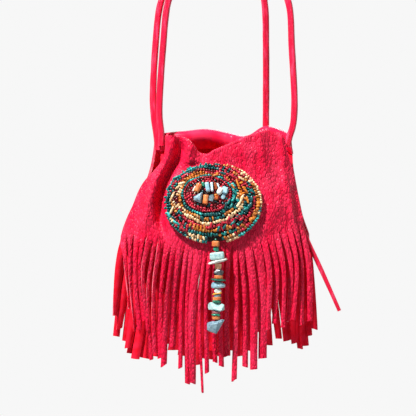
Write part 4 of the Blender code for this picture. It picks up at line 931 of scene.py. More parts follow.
@dataclass
class Panel:
    """One leather panel: its outline, its bulge and its folds."""

    side: int
    left: tuple
    right: tuple
    gape: tuple
    bulge: tuple
    rim: tuple
    folds: tuple
    roll: float
    roll_start: float
    hem: float
    hem_gap: float
    seed: float

    def x(self, share, height):
        """Place across at a share of the panel's width."""
        left = smooth_value(self.left, height)
        return left + share * (smooth_value(self.right, height) - left)

    def share(self, x, height):
        """Share of the panel's width at a place across."""
        left = smooth_value(self.left, height)
        return (x - left) / (smooth_value(self.right, height) - left)

    def depth(self, share, height):
        """Distance of the smooth outer face from the middle plane."""
        across = min(abs(2.0 * share - 1.0), 1.0)
        puff = (1.0 - across ** PUFF_POWER) ** PUFF_ROUNDNESS
        return smooth_value(self.gape, height) + smooth_value(self.bulge, height) * puff

    def point(self, share, height):
        """A point of the outer face, with its folds."""
        x = self.x(share, height)
        depth = self.depth(share, height) + self.relief(x, height)
        point = Vector((x, self.side * depth, height))
        return self.curled(point) if self.side > 0 else point

    def curled(self, point):
        """A point of the back, whose left edge turns towards the front above the seam."""
        amount = ease((point.z - CURL_LOW) / CURL_EASE)
        left = smooth_value(self.left, point.z)
        run = point.x - left
        if not amount or run > CURL_SHIFT_RUN:
            return point
        point.x -= CURL_SHIFT * amount * (1.0 - run / CURL_SHIFT_RUN)
        if run < CURL_RUN:
            radius = CURL_RUN / (CURL_TURN * amount)
            angle = CURL_TURN * amount * (1.0 - run / CURL_RUN)
            point.x += CURL_RUN - run - radius * math.sin(angle)
            point.y -= radius * (1.0 - math.cos(angle))
        return point

    def outward(self, share, height):
        """Level direction out of the panel's smooth face."""
        low, high = max(share - SLOPE_STEP, 0.0), min(share + SLOPE_STEP, 1.0)
        run = self.x(high, height) - self.x(low, height)
        rise = self.side * (self.depth(high, height) - self.depth(low, height))
        along = Vector((run, rise, 0.0)).normalized()
        return Vector((-along.y, along.x, 0.0)) * self.side

    def roll_at(self, share):
        """Radius of the rolled edge, which grows from its left end."""
        return self.roll * lerp(self.roll_start, 1.0, ease(share / ROLL_GROWTH))

    def relief(self, x, z):
        """Height of the folds and drawn wrinkles, which fade out under the medallion."""
        total = sum(fold_height(width, line, x, z) for width, line in self.folds)
        drawn = noise.noise(Vector((x / WRINKLE_ACROSS, z / WRINKLE_DOWN, self.seed)))
        fine = noise.noise(Vector((x / WRINKLE_ACROSS * FINE_ACROSS + FINE_SHIFT,
                                   z / WRINKLE_DOWN * FINE_DOWN, self.seed)))
        creased = (1.0 - WRINKLE_SHARPNESS * abs(drawn)) + FINE_SHARE * fine
        total += WRINKLE_HEIGHT * creased * ease((x - WRINKLE_LEFT) / WRINKLE_EASE)
        total += WAVE_HEIGHT * noise.noise(Vector((x / WAVE_ACROSS, z / WAVE_DOWN, self.seed + WAVE_SHIFT)))
        if self.side > 0:
            return total
        cx, cz, half_width, half_height = MEDALLION_OVAL
        reach = math.hypot((x - cx) / half_width, (z - cz) / half_height)
        start = RIDGE_FADE_START if total > 0.0 else VALLEY_FADE_START
        return total * ease((reach - start) / FOLD_FADE)


def fold_height(width, line, x, z):
    """Height of one fold at a place: a soft ridge or valley along a line."""
    best, height = None, 0.0
    for (x0, z0, h0), (x1, z1, h1) in zip(line, line[1:]):
        run_x, run_z = x1 - x0, z1 - z0
        t = ((x - x0) * run_x + (z - z0) * run_z) / (run_x ** 2 + run_z ** 2)
        t = min(max(t, 0.0), 1.0)
        away = (x - x0 - t * run_x) ** 2 + (z - z0 - t * run_z) ** 2
        if best is None or away < best:
            best, height = away, lerp(h0, h1, t)
    return height * math.exp(-best / width ** 2)


def edge_column(panel, share, slit_top, rolled):
    """Points of one column, from the hem inside, over the rolled edge, down to the slit's top."""
    roll = panel.roll_at(share)
    shoulder = smooth_value(panel.rim, share) - roll
    start = panel.point(share, shoulder)
    inward = -panel.outward(share, shoulder)
    points = []
    if rolled:
        for step in range(HEM_STEPS, 0, -1):
            part = step / HEM_STEPS
            wall = panel.point(share, shoulder - panel.hem * part)
            reach = 2 * roll + (panel.hem_gap - 2 * roll) * part ** 2
            points.append(wall + inward * reach)
        points.append(start + inward * (2 * roll))
        for step in range(1, ROLL_STEPS):
            angle = math.pi * (1.0 - step / ROLL_STEPS)
            lift = Vector((0.0, 0.0, roll * math.sin(angle)))
            points.append(start + inward * (roll * (1.0 - math.cos(angle))) + lift)
    body = [panel.point(share, lerp(shoulder, slit_top, row / BODY_ROWS)) for row in range(BODY_ROWS + 1)]
    return points, body


@dataclass
class Strip:
    """One strip of the fringe: x half-way down and at the tip, the tip's height, turns in degrees
    half-way and at the tip, width at the tip as a share, slant of the tip, layer and sway."""

    middle_x: float
    tip_x: float
    tip_z: float
    middle_turn: float
    tip_turn: float
    tip_width: float
    slant: float
    layer: float
    sway: float

    def point(self, side, roots, u, t, wander):
        """A point of the strip: u runs across from -1 to 1, and t down from 0 to 1."""
        left, right = roots[0], roots[-1]
        root = roots[round((u + 1.0) / 2.0 * (len(roots) - 1))]
        centre = 0.5 * (left.x + right.x)
        root_depth = 0.25 * abs(left.y + right.y) + 0.5 * abs(root.y)
        x = smooth_value(((0.0, centre), (STRIP_MIDDLE, self.middle_x), (1.0, self.tip_x)), t)
        turns = ((0.0, 0.0), (STRIP_TURN_START, STRIP_TURN_SHARE * self.middle_turn),
                 (STRIP_MIDDLE, self.middle_turn), (1.0, self.tip_turn))
        turn = math.radians(smooth_value(turns, t))
        taper = lerp(1.0, self.tip_width, ease((t - STRIP_TAPER_START) / (1.0 - STRIP_TAPER_START)))
        half = 0.5 * (right.x - left.x) * taper * STRIP_KEPT
        turn_x, turn_y = STRIP_SWAY_TURNS
        sway = Vector((wander[0] * math.sin(turn_x * t + wander[2]),
                       wander[1] * math.sin(turn_y * t + wander[3])))
        sway *= self.sway * t
        depth = SEAM_OFFSET + (root_depth - SEAM_OFFSET) * (1.0 - STRIP_DRAPE * ease(t))
        depth += STRIP_BOW * abs(math.sin(turn)) * math.sin(math.pi * min(t * STRIP_BOW_RUN, 1.0)) + sway.y
        depth += self.layer * ease(t / STRIP_LAYER_RUN)
        cup = STRIP_CUP * (1.0 - u * u) * ease(t / STRIP_CUP_RUN)
        x += sway.x + u * half * math.cos(turn) + cup * math.sin(turn)
        y = side * depth + u * half * math.sin(turn) - cup * math.cos(turn)
        slant = self.slant * u * ease((t - STRIP_TIP_START) / (1.0 - STRIP_TIP_START)) * 0.5
        join = ease(t / STRIP_JOIN)
        return Vector((lerp(root.x, x, join), lerp(root.y, y, join), lerp(root.z, self.tip_z, t) + slant))


def body_columns(panel, slits, first_rolled, last_rolled):
    """Points of a panel's body, and for each column the numbers of its rolled and its body points."""
    verts, columns = [], []
    for k in range((len(slits) - 1) * STRIP_COLUMNS + 1):
        slit, part = divmod(k, STRIP_COLUMNS)
        x, top = slits[slit]
        if part:
            part /= STRIP_COLUMNS
            x, top = lerp(x, slits[slit + 1][0], part), lerp(top, slits[slit + 1][1], part)
        share = min(max(panel.share(x, top), 0.0), 1.0)
        rolled = first_rolled * STRIP_COLUMNS <= k <= last_rolled * STRIP_COLUMNS
        over, body = edge_column(panel, share, top, rolled)
        first = len(verts)
        verts += over + body
        columns.append((list(range(first, first + len(over))), list(range(first + len(over), len(verts)))))
    return verts, columns


def body_faces(columns):
    """Faces between neighbouring columns, which share the rolled part where both have one."""
    faces = []
    for (over, left), (next_over, right) in zip(columns, columns[1:]):
        if over and next_over:
            left, right = over + left, next_over + right
        for row in range(len(left) - 1):
            faces.append((left[row], left[row + 1], right[row + 1], right[row]))
    return faces


def add_strip(panel, strip, roots, rng, verts, faces):
    """Hang one strip from the points with the numbers `roots`."""
    places = [verts[root] for root in roots]
    wander = [rng.uniform(-1.0, 1.0), rng.uniform(-1.0, 1.0),
              rng.uniform(0.0, STRIP_SWAY_START), rng.uniform(0.0, STRIP_SWAY_START)]
    row = roots
    for step in range(1, STRIP_ROWS + 1):
        new_row = []
        for c in range(STRIP_COLUMNS + 1):
            u = 2.0 * c / STRIP_COLUMNS - 1.0
            new_row.append(len(verts))
            verts.append(strip.point(panel.side, places, u, step / STRIP_ROWS, wander))
        for c in range(STRIP_COLUMNS):
            faces.append((row[c], new_row[c], new_row[c + 1], row[c + 1]))
        row = new_row


def build_panel(name, panel, slits, strips, rolled, finishes):
    """The whole panel as one sheet with its fringe, thickened towards the inside of the pouch.

    `rolled` are the first and the last slit between which the top edge is rolled over."""
    rng = random.Random(name)
    verts, columns = body_columns(panel, slits, *rolled)
    faces = body_faces(columns)
    for k, strip in enumerate(strips):
        roots = [columns[k * STRIP_COLUMNS + c][1][-1] for c in range(STRIP_COLUMNS + 1)]
        add_strip(panel, strip, roots, rng, verts, faces)
    if panel.side > 0:
        faces = [face[::-1] for face in faces]
    made = add_object(name, verts, faces, finishes)
    thicken(made, LEATHER, inner_slot=1, edge_slot=2)
    return made


def front_strips():
    """The front's strips, every second one a little behind its neighbours."""
    return [Strip(*row, layer=-FRONT_LAYER * (k % 2), sway=FRONT_SWAY)
            for k, row in enumerate(FRONT_STRIPS)]


def back_fringe(panel):
    """Evenly cut slits and the strips between them."""
    count = len(BACK_STRIPS)
    slits = []
    for k in range(count + 1):
        height = BACK_SLIT_HEIGHT + BACK_SLIT_STAGGER * math.sin(BACK_SLIT_TURN * k)
        slits.append((panel.x(k / count, height), height))
    strips = []
    for k, (tip_x, tip_z, turn) in enumerate(BACK_STRIPS):
        root = 0.5 * (slits[k][0] + slits[k + 1][0])
        layer = BACK_LAYER if k % 2 else -BACK_LAYER
        width = BACK_WIDTH if BACK_FIRST_WIDE <= k <= BACK_LAST_WIDE else BACK_NARROW_WIDTH
        slant = BACK_SLANT * math.sin(BACK_SLANT_TURN * k)
        strips.append(Strip(0.5 * (root + tip_x), tip_x, tip_z, BACK_TURN_MIDDLE * turn, turn, width,
                            slant, layer, BACK_SWAY))
    return slits, strips


def build_inner_pouch(front, back, finishes):
    """A soft closed bag between the panels, open at the top."""
    levels = [(lerp(POUCH_TOP, POUCH_TURN, k / POUCH_ROWS), 1.0) for k in range(POUCH_ROWS)]
    for step in range(POUCH_BOTTOM_ROWS + 1):
        swing = POUCH_BOTTOM_SWING * step / POUCH_BOTTOM_ROWS
        levels.append((POUCH_TURN + (POUCH_BOTTOM - POUCH_TURN) * math.sin(swing), math.cos(swing)))
    verts = []
    for height, fullness in levels:
        left = max(smooth_value(front.left, height), smooth_value(back.left, height))
        right = min(smooth_value(front.right, height), smooth_value(back.right, height))
        left += POUCH_SIDE_INSET * (2.0 - fullness)
        right -= POUCH_SIDE_INSET * (2.0 - fullness)
        for panel in (front, back):
            for k in range(POUCH_HALF_POINTS):
                across = math.cos(math.pi * k / POUCH_HALF_POINTS) * panel.side
                puff = (1.0 - abs(across) ** PUFF_POWER) ** PUFF_ROUNDNESS
                room = smooth_value(panel.bulge, height) + SEAM_OFFSET - LEATHER - POUCH_EASE
                x = lerp(left, right, 0.5 + 0.5 * across)
                crease = noise.noise(Vector((x / POUCH_CREASE_ACROSS, height / POUCH_CREASE_DOWN,
                                             POUCH_SEED * panel.side)))
                relief = min(panel.relief(x, height), 0.0)
                depth = room * puff * fullness + relief - POUCH_CREASE * puff * (0.5 + crease)
                verts.append((x, panel.side * max(depth, 0.0), height))
    ring = 2 * POUCH_HALF_POINTS
    faces = ring_faces(len(levels), ring)
    faces.append(tuple(range((len(levels) - 1) * ring, len(levels) * ring)))
    made = add_object("pouch_lining", verts, faces, finishes)
    thicken(made, LINING)
    return made


def smooth_route(route, step):
    """Points about `step` apart on a smooth curve through the route's own points."""
    knots = [Vector(point) for point in route]
    knots = [2 * knots[0] - knots[1]] + knots + [2 * knots[-1] - knots[-2]]
    points = []
    for before, start, end, after in zip(knots, knots[1:], knots[2:], knots[3:]):
        pieces = max(1, round((end - start).length / step))
        for k in range(pieces):
            t = k / pieces
            points.append(0.5 * (2 * start + (end - before) * t
                                 + (2 * before - 5 * start + 4 * end - after) * t ** 2
                                 + (3 * start - before - 3 * end + after) * t ** 3))
    points.append(knots[-2])
    return points


def build_lace(name, route, diameter, finish, groove=0.0, flatness=1.0, tip_share=1.0):
    """A leather lace along a route, with a groove on its front."""
    points = smooth_route(route, LACE_STEP)
    verts = []
    for k, point in enumerate(points):
        ahead = points[min(k + 1, len(points) - 1)] - points[max(k - 1, 0)]
        ahead.normalize()
        across = ahead.cross(Vector((0.0, -1.0, 0.0))).normalized()
        front = across.cross(ahead)
        part = k / (len(points) - 1)
        thinning = ease((part - LACE_TAPER_START) / (1.0 - LACE_TAPER_START))
        size = 0.5 * diameter * lerp(1.0, tip_share, thinning)
        size *= 1.0 + LACE_UNEVEN * noise.noise(point * LACE_UNEVEN_RUN)
        drift = LACE_DRIFT * noise.noise(point * LACE_DRIFT_RUN)
        for side in range(LACE_SIDES):
            angle = 2.0 * math.pi * side / LACE_SIDES
            off = (angle - 0.5 * math.pi - drift + math.pi) % (2.0 * math.pi) - math.pi
            radius = size * (1.0 - groove * math.exp(-(off / LACE_GROOVE_WIDTH) ** 2))
            verts.append(point + across * (radius * math.cos(angle))
                         + front * (radius * flatness * math.sin(angle)))
    faces = ring_faces(len(points), LACE_SIDES)
    faces.append(tuple(range(LACE_SIDES))[::-1])
    faces.append(tuple(range((len(points) - 1) * LACE_SIDES, len(points) * LACE_SIDES)))
    made = add_object(name, verts, faces, [finish])
    made.data.set_sharp_from_angle(angle=SHARP_ANGLE)
    return made, [tuple(point * MM) for point in points]


def backing_height(x, z):
    """Thickness of the domed backing at a place on the medallion."""
    cx, cz, half_width, half_height = MEDALLION_OVAL
    reach = math.hypot((x - cx) / half_width, (z - cz) / half_height)
    return BACKING_EDGE + BACKING_RISE * (1.0 - min(reach, 1.0) ** 2)


def on_front(front, x, z, lift):
    """A point that stands `lift` in front of the front panel's smooth face."""
    return Vector((x, -front.depth(front.share(x, z), z) - lift, z))


def on_dome(front, x, z, lift):
    """A point that stands `lift` over the domed felt."""
    return on_front(front, x, z, 2 * CLEAR + backing_height(x, z) + lift)


def dome_frame(front, x, z, lift):
    """Turn that lays a piece on the dome: its X to the right, its Z up and its -Y out."""
    right = (on_dome(front, x + 1.0, z, 0.0) - on_dome(front, x - 1.0, z, 0.0)).normalized()
    up = (on_dome(front, x, z + 1.0, 0.0) - on_dome(front, x, z - 1.0, 0.0)).normalized()
    back = up.cross(right).normalized()
    up = right.cross(back)
    turn = Matrix((right, back, up)).transposed()
    return Matrix.Translation(on_dome(front, x, z, lift)) @ turn.to_4x4()


def oval_point(oval, angle, share=1.0):
    """A point of an oval, or of a smaller one inside it."""
    cx, cz, half_width, half_height = oval
    return cx + half_width * share * math.cos(angle), cz + half_height * share * math.sin(angle)


def band_point(share, angle):
    """A place between the centre's oval (0) and the medallion's edge (1)."""
    oval = tuple(lerp(inner, outer, share) for inner, outer in zip(CENTRE_OVAL, MEDALLION_OVAL))
    x, z = oval_point(oval, angle)
    wave = sum(most * math.sin(turns * angle + shift * share) for most, turns, shift in ROW_WAVES)
    push = wave * ROW_PUSH * math.sin(math.pi * min(max(share, 0.0), 1.0))
    return x + push * math.cos(angle), z + push * math.sin(angle)


def build_backing(front, finish):
    """Domed felt under the beads."""
    verts = []
    for layer in (0, 1):
        for ring in range(BACKING_RINGS + 1):
            for k in range(BACKING_SIDES):
                share = BACKING_SHARE * max(ring / BACKING_RINGS, BACKING_INNER)
                x, z = oval_point(MEDALLION_OVAL, 2 * math.pi * k / BACKING_SIDES, share)
                nap = noise.noise(Vector((x / BACKING_NAP_SIZE, z / BACKING_NAP_SIZE, BACKING_SEED)))
                lift = CLEAR + layer * (backing_height(x, z) + BACKING_NAP * nap)
                verts.append(on_front(front, x, z, lift))
    sheet = (BACKING_RINGS + 1) * BACKING_SIDES
    inner, edge = tuple(range(BACKING_SIDES)), BACKING_RINGS * BACKING_SIDES
    faces = [(a, d, c, b) for a, b, c, d in ring_faces(BACKING_RINGS + 1, BACKING_SIDES)]
    faces += ring_faces(BACKING_RINGS + 1, BACKING_SIDES, sheet)
    faces += [inner, tuple(k + sheet for k in inner)[::-1]]
    for k in range(BACKING_SIDES):
        a, b = edge + k, edge + (k + 1) % BACKING_SIDES
        faces.append((a, a + sheet, b + sheet, b))
    return add_object("medallion_felt", verts, faces, [finish])


def barrel(sides=10, rings=6, roundness=3.0):
    """Unit bead along Z: a short tube with rounded ends."""
    verts = [(0.0, 0.0, -0.5)]
    for ring in range(rings):
        z = -math.cos(math.pi * (ring + 0.5) / rings)
        radius = 0.5 * (1.0 - abs(z) ** roundness) ** (1.0 / roundness)
        verts += [(radius * math.cos(2 * math.pi * k / sides), radius * math.sin(2 * math.pi * k / sides),
                   0.5 * z) for k in range(sides)]
    verts.append((0.0, 0.0, 0.5))
    faces = [(0, 1 + (k + 1) % sides, 1 + k) for k in range(sides)]
    faces += ring_faces(rings, sides, first=1)
    last, first = len(verts) - 1, 1 + (rings - 1) * sides
    faces += [(last, first + k, first + (k + 1) % sides) for k in range(sides)]
    return np.array(verts), faces


class BeadPile:
    """Beads gathered by colour, so that each colour becomes one piece."""

    def __init__(self):
        self.verts, self.faces = barrel()
        self.piles = {}

    def add(self, colour, matrix, size):
        """Lay one bead."""
        points = self.verts * np.array(size)
        turned = points @ np.array(matrix.to_3x3()).T + np.array(matrix.translation)
        verts, faces = self.piles.setdefault(colour, ([], []))
        first = len(verts)
        verts.extend(map(tuple, turned))
        faces.extend(tuple(first + index for index in face) for face in self.faces)

    def build(self, finishes):
        """One piece for each colour."""
        return {colour: add_object("beads_" + colour, verts, faces, [finishes[colour]])
                for colour, (verts, faces) in self.piles.items()}


def colours_at(sectors, degrees):
    """The colours of a row's sector at that angle."""
    found = [colours for start, colours in sectors if degrees >= start]
    return found[-1].split()


def build_beadwork(front, finishes):
    """Rows of small beads laid side by side over the felt."""
    rng = random.Random(BEADWORK_SEED)
    pile = BeadPile()
    for place, width, pitch, sectors in BEAD_ROWS:
        angle, end = 0.0, 2.0 * math.pi
        while angle < end:
            x, z = band_point(place, angle)
            ahead = Vector(band_point(place, angle + ROW_STEP)) - Vector((x, z))
            inner, outer = band_point(place - width / 2, angle), band_point(place + width / 2, angle)
            across = Vector(outer) - Vector(inner)
            angle += pitch / (ahead.length / ROW_STEP)
            colour = rng.choice(colours_at(sectors, math.degrees(angle) % 360.0))
            beside_dangle = math.hypot(x - DANGLE_ROOT[0], z - DANGLE_ROOT[1]) < DANGLE_ROOM
            if colour == "none" or beside_dangle:
                continue
            size = (pitch * rng.uniform(*BEAD_LENGTHS), BEAD_DEPTH * rng.uniform(*BEAD_DEPTHS),
                    max(across.length * rng.uniform(*BEAD_WIDTHS), BEAD_NARROWEST))
            lean = math.atan2(-across.x, across.y) + rng.gauss(0.0, BEAD_JITTER) + BEAD_LEAN
            lift = BEAD_STAND + rng.uniform(*BEAD_STANDS)
            turn = Matrix.Rotation(-lean, 4, "Y") @ Matrix.Rotation(rng.gauss(0.0, BEAD_JITTER), 4, "X")
            pile.add(colour, dome_frame(front, x, z, lift) @ turn, size)
    for share in CENTRE_RINGS:
        count = round(CENTRE_RING_BEADS * share)
        for k in range(count):
            x, z = oval_point(CENTRE_OVAL, 2.0 * math.pi * (k + share) / count, share)
            turn = Matrix.Rotation(rng.uniform(0.0, math.pi), 4, "Y")
            size = (rng.uniform(*CENTRE_BEAD_WIDTHS), CHIP_DEPTH, rng.uniform(*CENTRE_BEAD_LENGTHS))
            pile.add(rng.choice(CENTRE_COLOURS), dome_frame(front, x, z, CENTRE_RING_STAND) @ turn, size)
    for stand, chips in ((BEAD_STAND, CENTRE_FILL), (CHIP_STAND, LONG_CHIPS)):
        for x, z, length, width, tilt, colour in chips:
            turn = Matrix.Rotation(math.radians(tilt), 4, "Y")
            pile.add(colour, dome_frame(front, x, z, stand) @ turn, (width, CHIP_DEPTH, length))
    for colour, piece in pile.build(finishes).items():
        if colour in BEAD_NODES:
            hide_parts(BEAD_NODES[colour])


def tumbled(name, size, squareness, finish, seed, body, rough):
    """A worn stone: a rounded block or disc with dents.

    The size runs along x, y and z. A squareness of 2 is round, seen from above or from the side."""
    above, beside = squareness
    verts = []
    for ring in range(STONE_RINGS + 1):
        swing = math.pi * (ring / STONE_RINGS - 0.5)
        up = math.copysign(abs(math.sin(swing)) ** (2.0 / beside), swing)
        flat = max(math.cos(swing), 0.0) ** (2.0 / beside)
        for k in range(STONE_SIDES):
            angle = 2 * math.pi * k / STONE_SIDES
            along, over = math.cos(angle), math.sin(angle)
            reach = (abs(along) ** above + abs(over) ** above) ** (-1.0 / above)
            place = Vector((along * reach * flat, over * reach * flat, up))
            dent = noise.noise(place * DENT_TURNS + Vector((seed, 2.0 * seed, 5.0)))
            fine = noise.noise(place * FINE_DENT_TURNS + Vector((seed, 7.0, seed)))
            place *= 1.0 + rough * (dent + FINE_DENT_SHARE * fine)
            verts.append([c * s / 2 for c, s in zip(place, size)])
    faces = ring_faces(STONE_RINGS + 1, STONE_SIDES)
    faces.append(tuple(range(STONE_SIDES))[::-1])
    faces.append(tuple(range(STONE_RINGS * STONE_SIDES, (STONE_RINGS + 1) * STONE_SIDES)))
    made = add_object(name, verts, faces, [finish], body)
    made.data.set_sharp_from_angle(angle=SHARP_ANGLE)
    return made


def hull_stone(name, points, finish, body, corner):
    """A cut stone: the hull of its corner points, with worn edges."""
    bm = bmesh.new()
    for point in points:
        bm.verts.new(point)
    bmesh.ops.convex_hull(bm, input=bm.verts)
    loose = [vert for vert in bm.verts if not vert.link_faces]
    bmesh.ops.delete(bm, geom=loose, context="VERTS")
    bmesh.ops.dissolve_limit(bm, angle_limit=FLAT_ANGLE, verts=bm.verts, edges=bm.edges)
    bmesh.ops.bevel(bm, geom=bm.edges, offset=corner, segments=WORN_STEPS, affect="EDGES",
                    clamp_overlap=True)
    bmesh.ops.recalc_face_normals(bm, faces=bm.faces)
    bm.verts.index_update()
    verts = [vert.co.copy() for vert in bm.verts]
    faces = [tuple(vert.index for vert in face.verts) for face in bm.faces]
    bm.free()
    made = add_object(name, verts, faces, [finish], body)
    made.data.set_sharp_from_angle(angle=CUT_ANGLE)
    return made


def chip_points(size, seed):
    """Corner points of an irregular chip that fills a box of that size."""
    rng = random.Random(seed)
    points = []
    for _ in range(CHIP_CORNERS):
        way = Vector([rng.uniform(-1.0, 1.0) for _ in range(3)]).normalized()
        reach = sum(abs(c) ** CHIP_BOXINESS for c in way) ** (-1.0 / CHIP_BOXINESS)
        points.append(Vector([0.5 * c * reach * s for c, s in zip(way, size)]))
    low = [min(p[i] for p in points) for i in range(3)]
    high = [max(p[i] for p in points) for i in range(3)]
    return [Vector([(p[i] - 0.5 * (low[i] + high[i])) * size[i] / (high[i] - low[i]) for i in range(3)])
            for p in points]


def shaped_stone(name, shape, size, finish, seed, body):
    """One stone or bead of a named shape about the origin."""
    if shape in TUMBLED_SHAPES:
        above, beside, rough = TUMBLED_SHAPES[shape]
        return tumbled(name, size, (above, beside), finish, seed, body, rough)
    if shape == "chip":
        return hull_stone(name, chip_points(size, seed), finish, body, CHIP_WEAR * min(size))
    points = [Vector([c * s for c, s in zip(corner, size)]) for corner in CUT_SHAPES[shape]]
    return hull_stone(name, points, finish, body, CUT_WEAR * min(size))


def turn_piece(piece, matrix):
    """Move a piece's points, in millimetres, so that its own origin stays the row's."""
    scaled = Matrix.Diagonal((MM, MM, MM, 1.0)) @ matrix @ Matrix.Diagonal((1 / MM, 1 / MM, 1 / MM, 1.0))
    piece.data.transform(scaled)


def build_centre(front, finishes):
    """The stones laid over the middle of the medallion."""
    for seed, row in enumerate(CENTRE_STONES + TUCKED_STONES, CENTRE_SEED):
        node, shape, x, z, width, height, thickness, tilt, colour = row
        size = (width, thickness, height)
        piece = shaped_stone("set_" + node, shape, size, finishes[colour], seed, "pouch")
        turn = Matrix.Rotation(math.radians(tilt), 4, "Y")
        turn_piece(piece, dome_frame(front, x, z, CENTRE_STAND + 0.5 * thickness) @ turn)
        if row in CENTRE_STONES:
            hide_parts(node)


def hang_stone(name, shape, size, place, tilt, colour, finishes, seed, body):
    """A stone of the dangle with its middle at a place."""
    piece = shaped_stone(name, shape, size, finishes[colour], seed, body)
    turn_piece(piece, Matrix.Translation(place) @ Matrix.Rotation(math.radians(tilt), 4, "Y"))
    return piece


def build_dangle(finishes):
    """The strung stones, each at the place of its node."""
    for seed, (node, body, shape, size, tilt, colour) in enumerate(DANGLE_BEADS, DANGLE_SEED):
        low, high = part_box(node)
        middle = Vector([(a + b) / 2 / MM for a, b in zip(low, high)])
        piece = hang_stone("strung_" + node, shape, size, middle, tilt, colour, finishes, seed, body)
        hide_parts(node)
        if node == SHELL_CHIP:
            hang_stone("shell_ring", "ring", SHELL_SIZE, middle + Vector(SHELL_MOVED), SHELL_TILT, "yellow",
                       finishes, SHELL_SEED, body)


def stone_finishes():
    """A material for each stone colour."""
    return {colour: stone_finish(*values, STONE_DEEP_PITS.get(colour, STONE_PITS))
            for colour, values in STONE_COLOURS.items()}


def bead_finishes():
    """A material for each bead colour."""
    return {colour: bead_finish("bead_" + colour, *values) for colour, values in BEAD_COLOURS.items()}


def set_view():
    """Colours as they are, without a film curve."""
    bpy.context.scene.view_settings.view_transform = "Standard"


def build_camera():
    """A far camera straight in front, as the photo has it."""
    camera = bpy.data.cameras.new("camera")
    camera.sensor_width = SENSOR
    camera.lens = SENSOR * VIEW_DISTANCE / VIEW_SPAN
    made = link("camera", camera)
    x, y, z = VIEW_CENTRE
    made.location = Vector((x, y - VIEW_DISTANCE, z)) * MM
    made.rotation_euler = (math.pi / 2, 0.0, 0.0)
    bpy.context.scene.camera = made


def build_lamps():
    """Area lamps that look at the middle of the view."""
    target = Vector(VIEW_CENTRE) * MM
    for name, place, watts, size in LAMPS:
        lamp = bpy.data.lights.new(name, "AREA")
        lamp.energy = watts
        lamp.size = size
        made = link(name, lamp)
        made.location = place
        made.rotation_euler = (target - Vector(place)).to_track_quat("-Z", "Y").to_euler()


def seen_share(nodes, links):
    """1 for rays from the camera and for reflections, so that the background stays pale in them."""
    path = nodes.new("ShaderNodeLightPath")
    share = path.outputs["Is Camera Ray"]
    for name in ("Is Glossy Ray", "Is Transmission Ray"):
        both = nodes.new("ShaderNodeMath")
        both.operation = "MAXIMUM"
        links.new(share, both.inputs[0])
        links.new(path.outputs[name], both.inputs[1])
        share = both.outputs[0]
    return share


def build_world():
    """A pale world that lights little."""
    world = bpy.data.worlds.new("world")
    world.use_nodes = True
    bpy.context.scene.world = world
    nodes, links = world.node_tree.nodes, world.node_tree.links
    background = nodes["Background"]
    background.inputs["Color"].default_value = (1.0, 1.0, 1.0, 1.0)
    strength = nodes.new("ShaderNodeMapRange")
    strength.inputs["To Min"].default_value = SKY_LIGHT
    strength.inputs["To Max"].default_value = FLOOR_SHADE
    links.new(seen_share(nodes, links), strength.inputs["Value"])
    links.new(strength.outputs["Result"], background.inputs["Strength"])


def build_floor():
    """A pale floor far below that melts into the world."""
    finish = bpy.data.materials.new("pale_floor")
    finish.use_nodes = True
    nodes, links = finish.node_tree.nodes, finish.node_tree.links
    shader = nodes["Principled BSDF"]
    shader.inputs["Base Color"].default_value = (FLOOR_LIT, FLOOR_LIT, FLOOR_LIT, 1.0)
    shader.inputs["Roughness"].default_value = 0.9
    glow = nodes.new("ShaderNodeEmission")
    glow.inputs["Color"].default_value = (FLOOR_SHADE, FLOOR_SHADE, FLOOR_SHADE, 1.0)
    mixed = nodes.new("ShaderNodeMixShader")
    links.new(seen_share(nodes, links), mixed.inputs[0])
    links.new(shader.outputs[0], mixed.inputs[1])
    links.new(glow.outputs[0], mixed.inputs[2])
    links.new(mixed.outputs[0], nodes["Material Output"].inputs["Surface"])
    half = FLOOR_SIZE / 2
    mesh = bpy.data.meshes.new("floor")
    mesh.from_pydata([(-half, -half, FLOOR_HEIGHT), (half, -half, FLOOR_HEIGHT), (half, half, FLOOR_HEIGHT),
                      (-half, half, FLOOR_HEIGHT)], [], [(0, 1, 2, 3)])
    mesh.materials.append(finish)
    link("floor", mesh)


def build_cords(finish):
    """The strap's two laces and the thong at the right seam."""
    for name, route, length, diameter, groove, flatness, tip in (
            ("strap_outer", STRAP_OUTER_ROUTE, STRAP_OUTER_LENGTH, LACE, LACE_GROOVE, 1.0, 1.0),
            ("strap_inner", STRAP_INNER_ROUTE, STRAP_INNER_LENGTH, LACE, LACE_GROOVE, 1.0, 1.0),
            ("side_thong", SIDE_THONG_ROUTE, SIDE_THONG_LENGTH, SIDE_THONG, 0.0, THONG_FLATNESS,
             THONG_TIP)):
        piece, path = build_lace("laced_" + name, route, diameter, finish, groove, flatness, tip)
        stand_for(piece, name)


def stand_for(piece, node):
    """Hide the node that a piece replaces."""
    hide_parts(node)


def stand_for_sheet(piece, node):
    """The same for a sheet."""
    stand_for(piece, node)


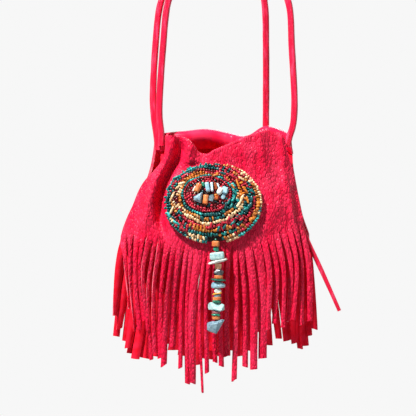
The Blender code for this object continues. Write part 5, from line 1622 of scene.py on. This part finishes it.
def build_leather(front, back):
    """Both panels with their fringes, and the bag between them."""
    suede = suede_finish("suede_side", SUEDE_RED, SUEDE_PALE)
    # Cut edges in paler reds, partly their own colour and partly a painted highlight along the strips.
    cut = suede_finish("cut_edge", CUT_RED, CUT_PINK, 0.08)
    front_leather = leather_finish("front_leather", 1.6, tall=2.1, creases=0.28)
    back_leather = leather_finish("back_leather", 1.9, tall=1.2, depth=0.24, roughness=0.30, creases=0.45,
                                  smooth_from=CASING_SMOOTH)
    front_piece = build_panel("front_leather", front, FRONT_SLITS, front_strips(), FRONT_ROLLED,
                              [front_leather, suede, cut])
    back_slits, back_strips = back_fringe(back)
    back_piece = build_panel("back_leather", back, back_slits, back_strips,
                             (BACK_FIRST_ROLLED, len(back_strips)), [back_leather, suede, cut])
    # The lining takes the leather's painted furrow shade and patches of painted sheen, in its own reds.
    lining = leather_finish("lining_leather", 1.2, depth=0.12, roughness=0.55,
                            colours=(LINING_DEEP, LINING_RED, LINING_PAINTED_SHEEN))
    pouch = build_inner_pouch(front, back, [lining])
    stand_for_sheet(front_piece, "front_panel")
    stand_for_sheet(back_piece, "back_panel")
    stand_for_sheet(pouch, "inner_pouch")


def paint_nodes(names, finish):
    """Give solids that are shown as they are their material."""
    for name in names:
        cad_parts[name].material_slots[0].material = finish


def main():
    """Camera and cords first, then leather, beadwork, stones, thread and light."""
    set_view()
    build_camera()
    lace = lace_finish("lace_leather")
    build_cords(lace)
    front = Panel(-1, FRONT_LEFT, FRONT_RIGHT, FRONT_GAPE, FRONT_BULGE, FRONT_LIP, FRONT_FOLDS,
                  LIP_ROLL, LIP_START, LIP_HEM, 2 * LIP_ROLL, FRONT_SEED)
    back = Panel(1, BACK_LEFT, BACK_RIGHT, BACK_GAPE, BACK_BULGE, BACK_RIM, BACK_FOLDS,
                 CASING_ROLL, CASING_START, CASING_HEM, 2 * LEATHER + CLEAR, BACK_SEED)
    build_leather(front, back)
    stand_for(build_backing(front, felt_finish()), "medallion_backing")
    build_beadwork(front, bead_finishes())
    stones = stone_finishes()
    build_centre(front, stones)
    build_dangle(stones)
    paint_nodes(("thread_top", "thread_upper", "thread_middle", "thread_lower"), thread_finish())
    paint_nodes(("drawstring",), lace)
    paint_nodes(("dangle_anchor",), stones["green"])
    build_lamps()
    build_world()
    build_floor()


main()
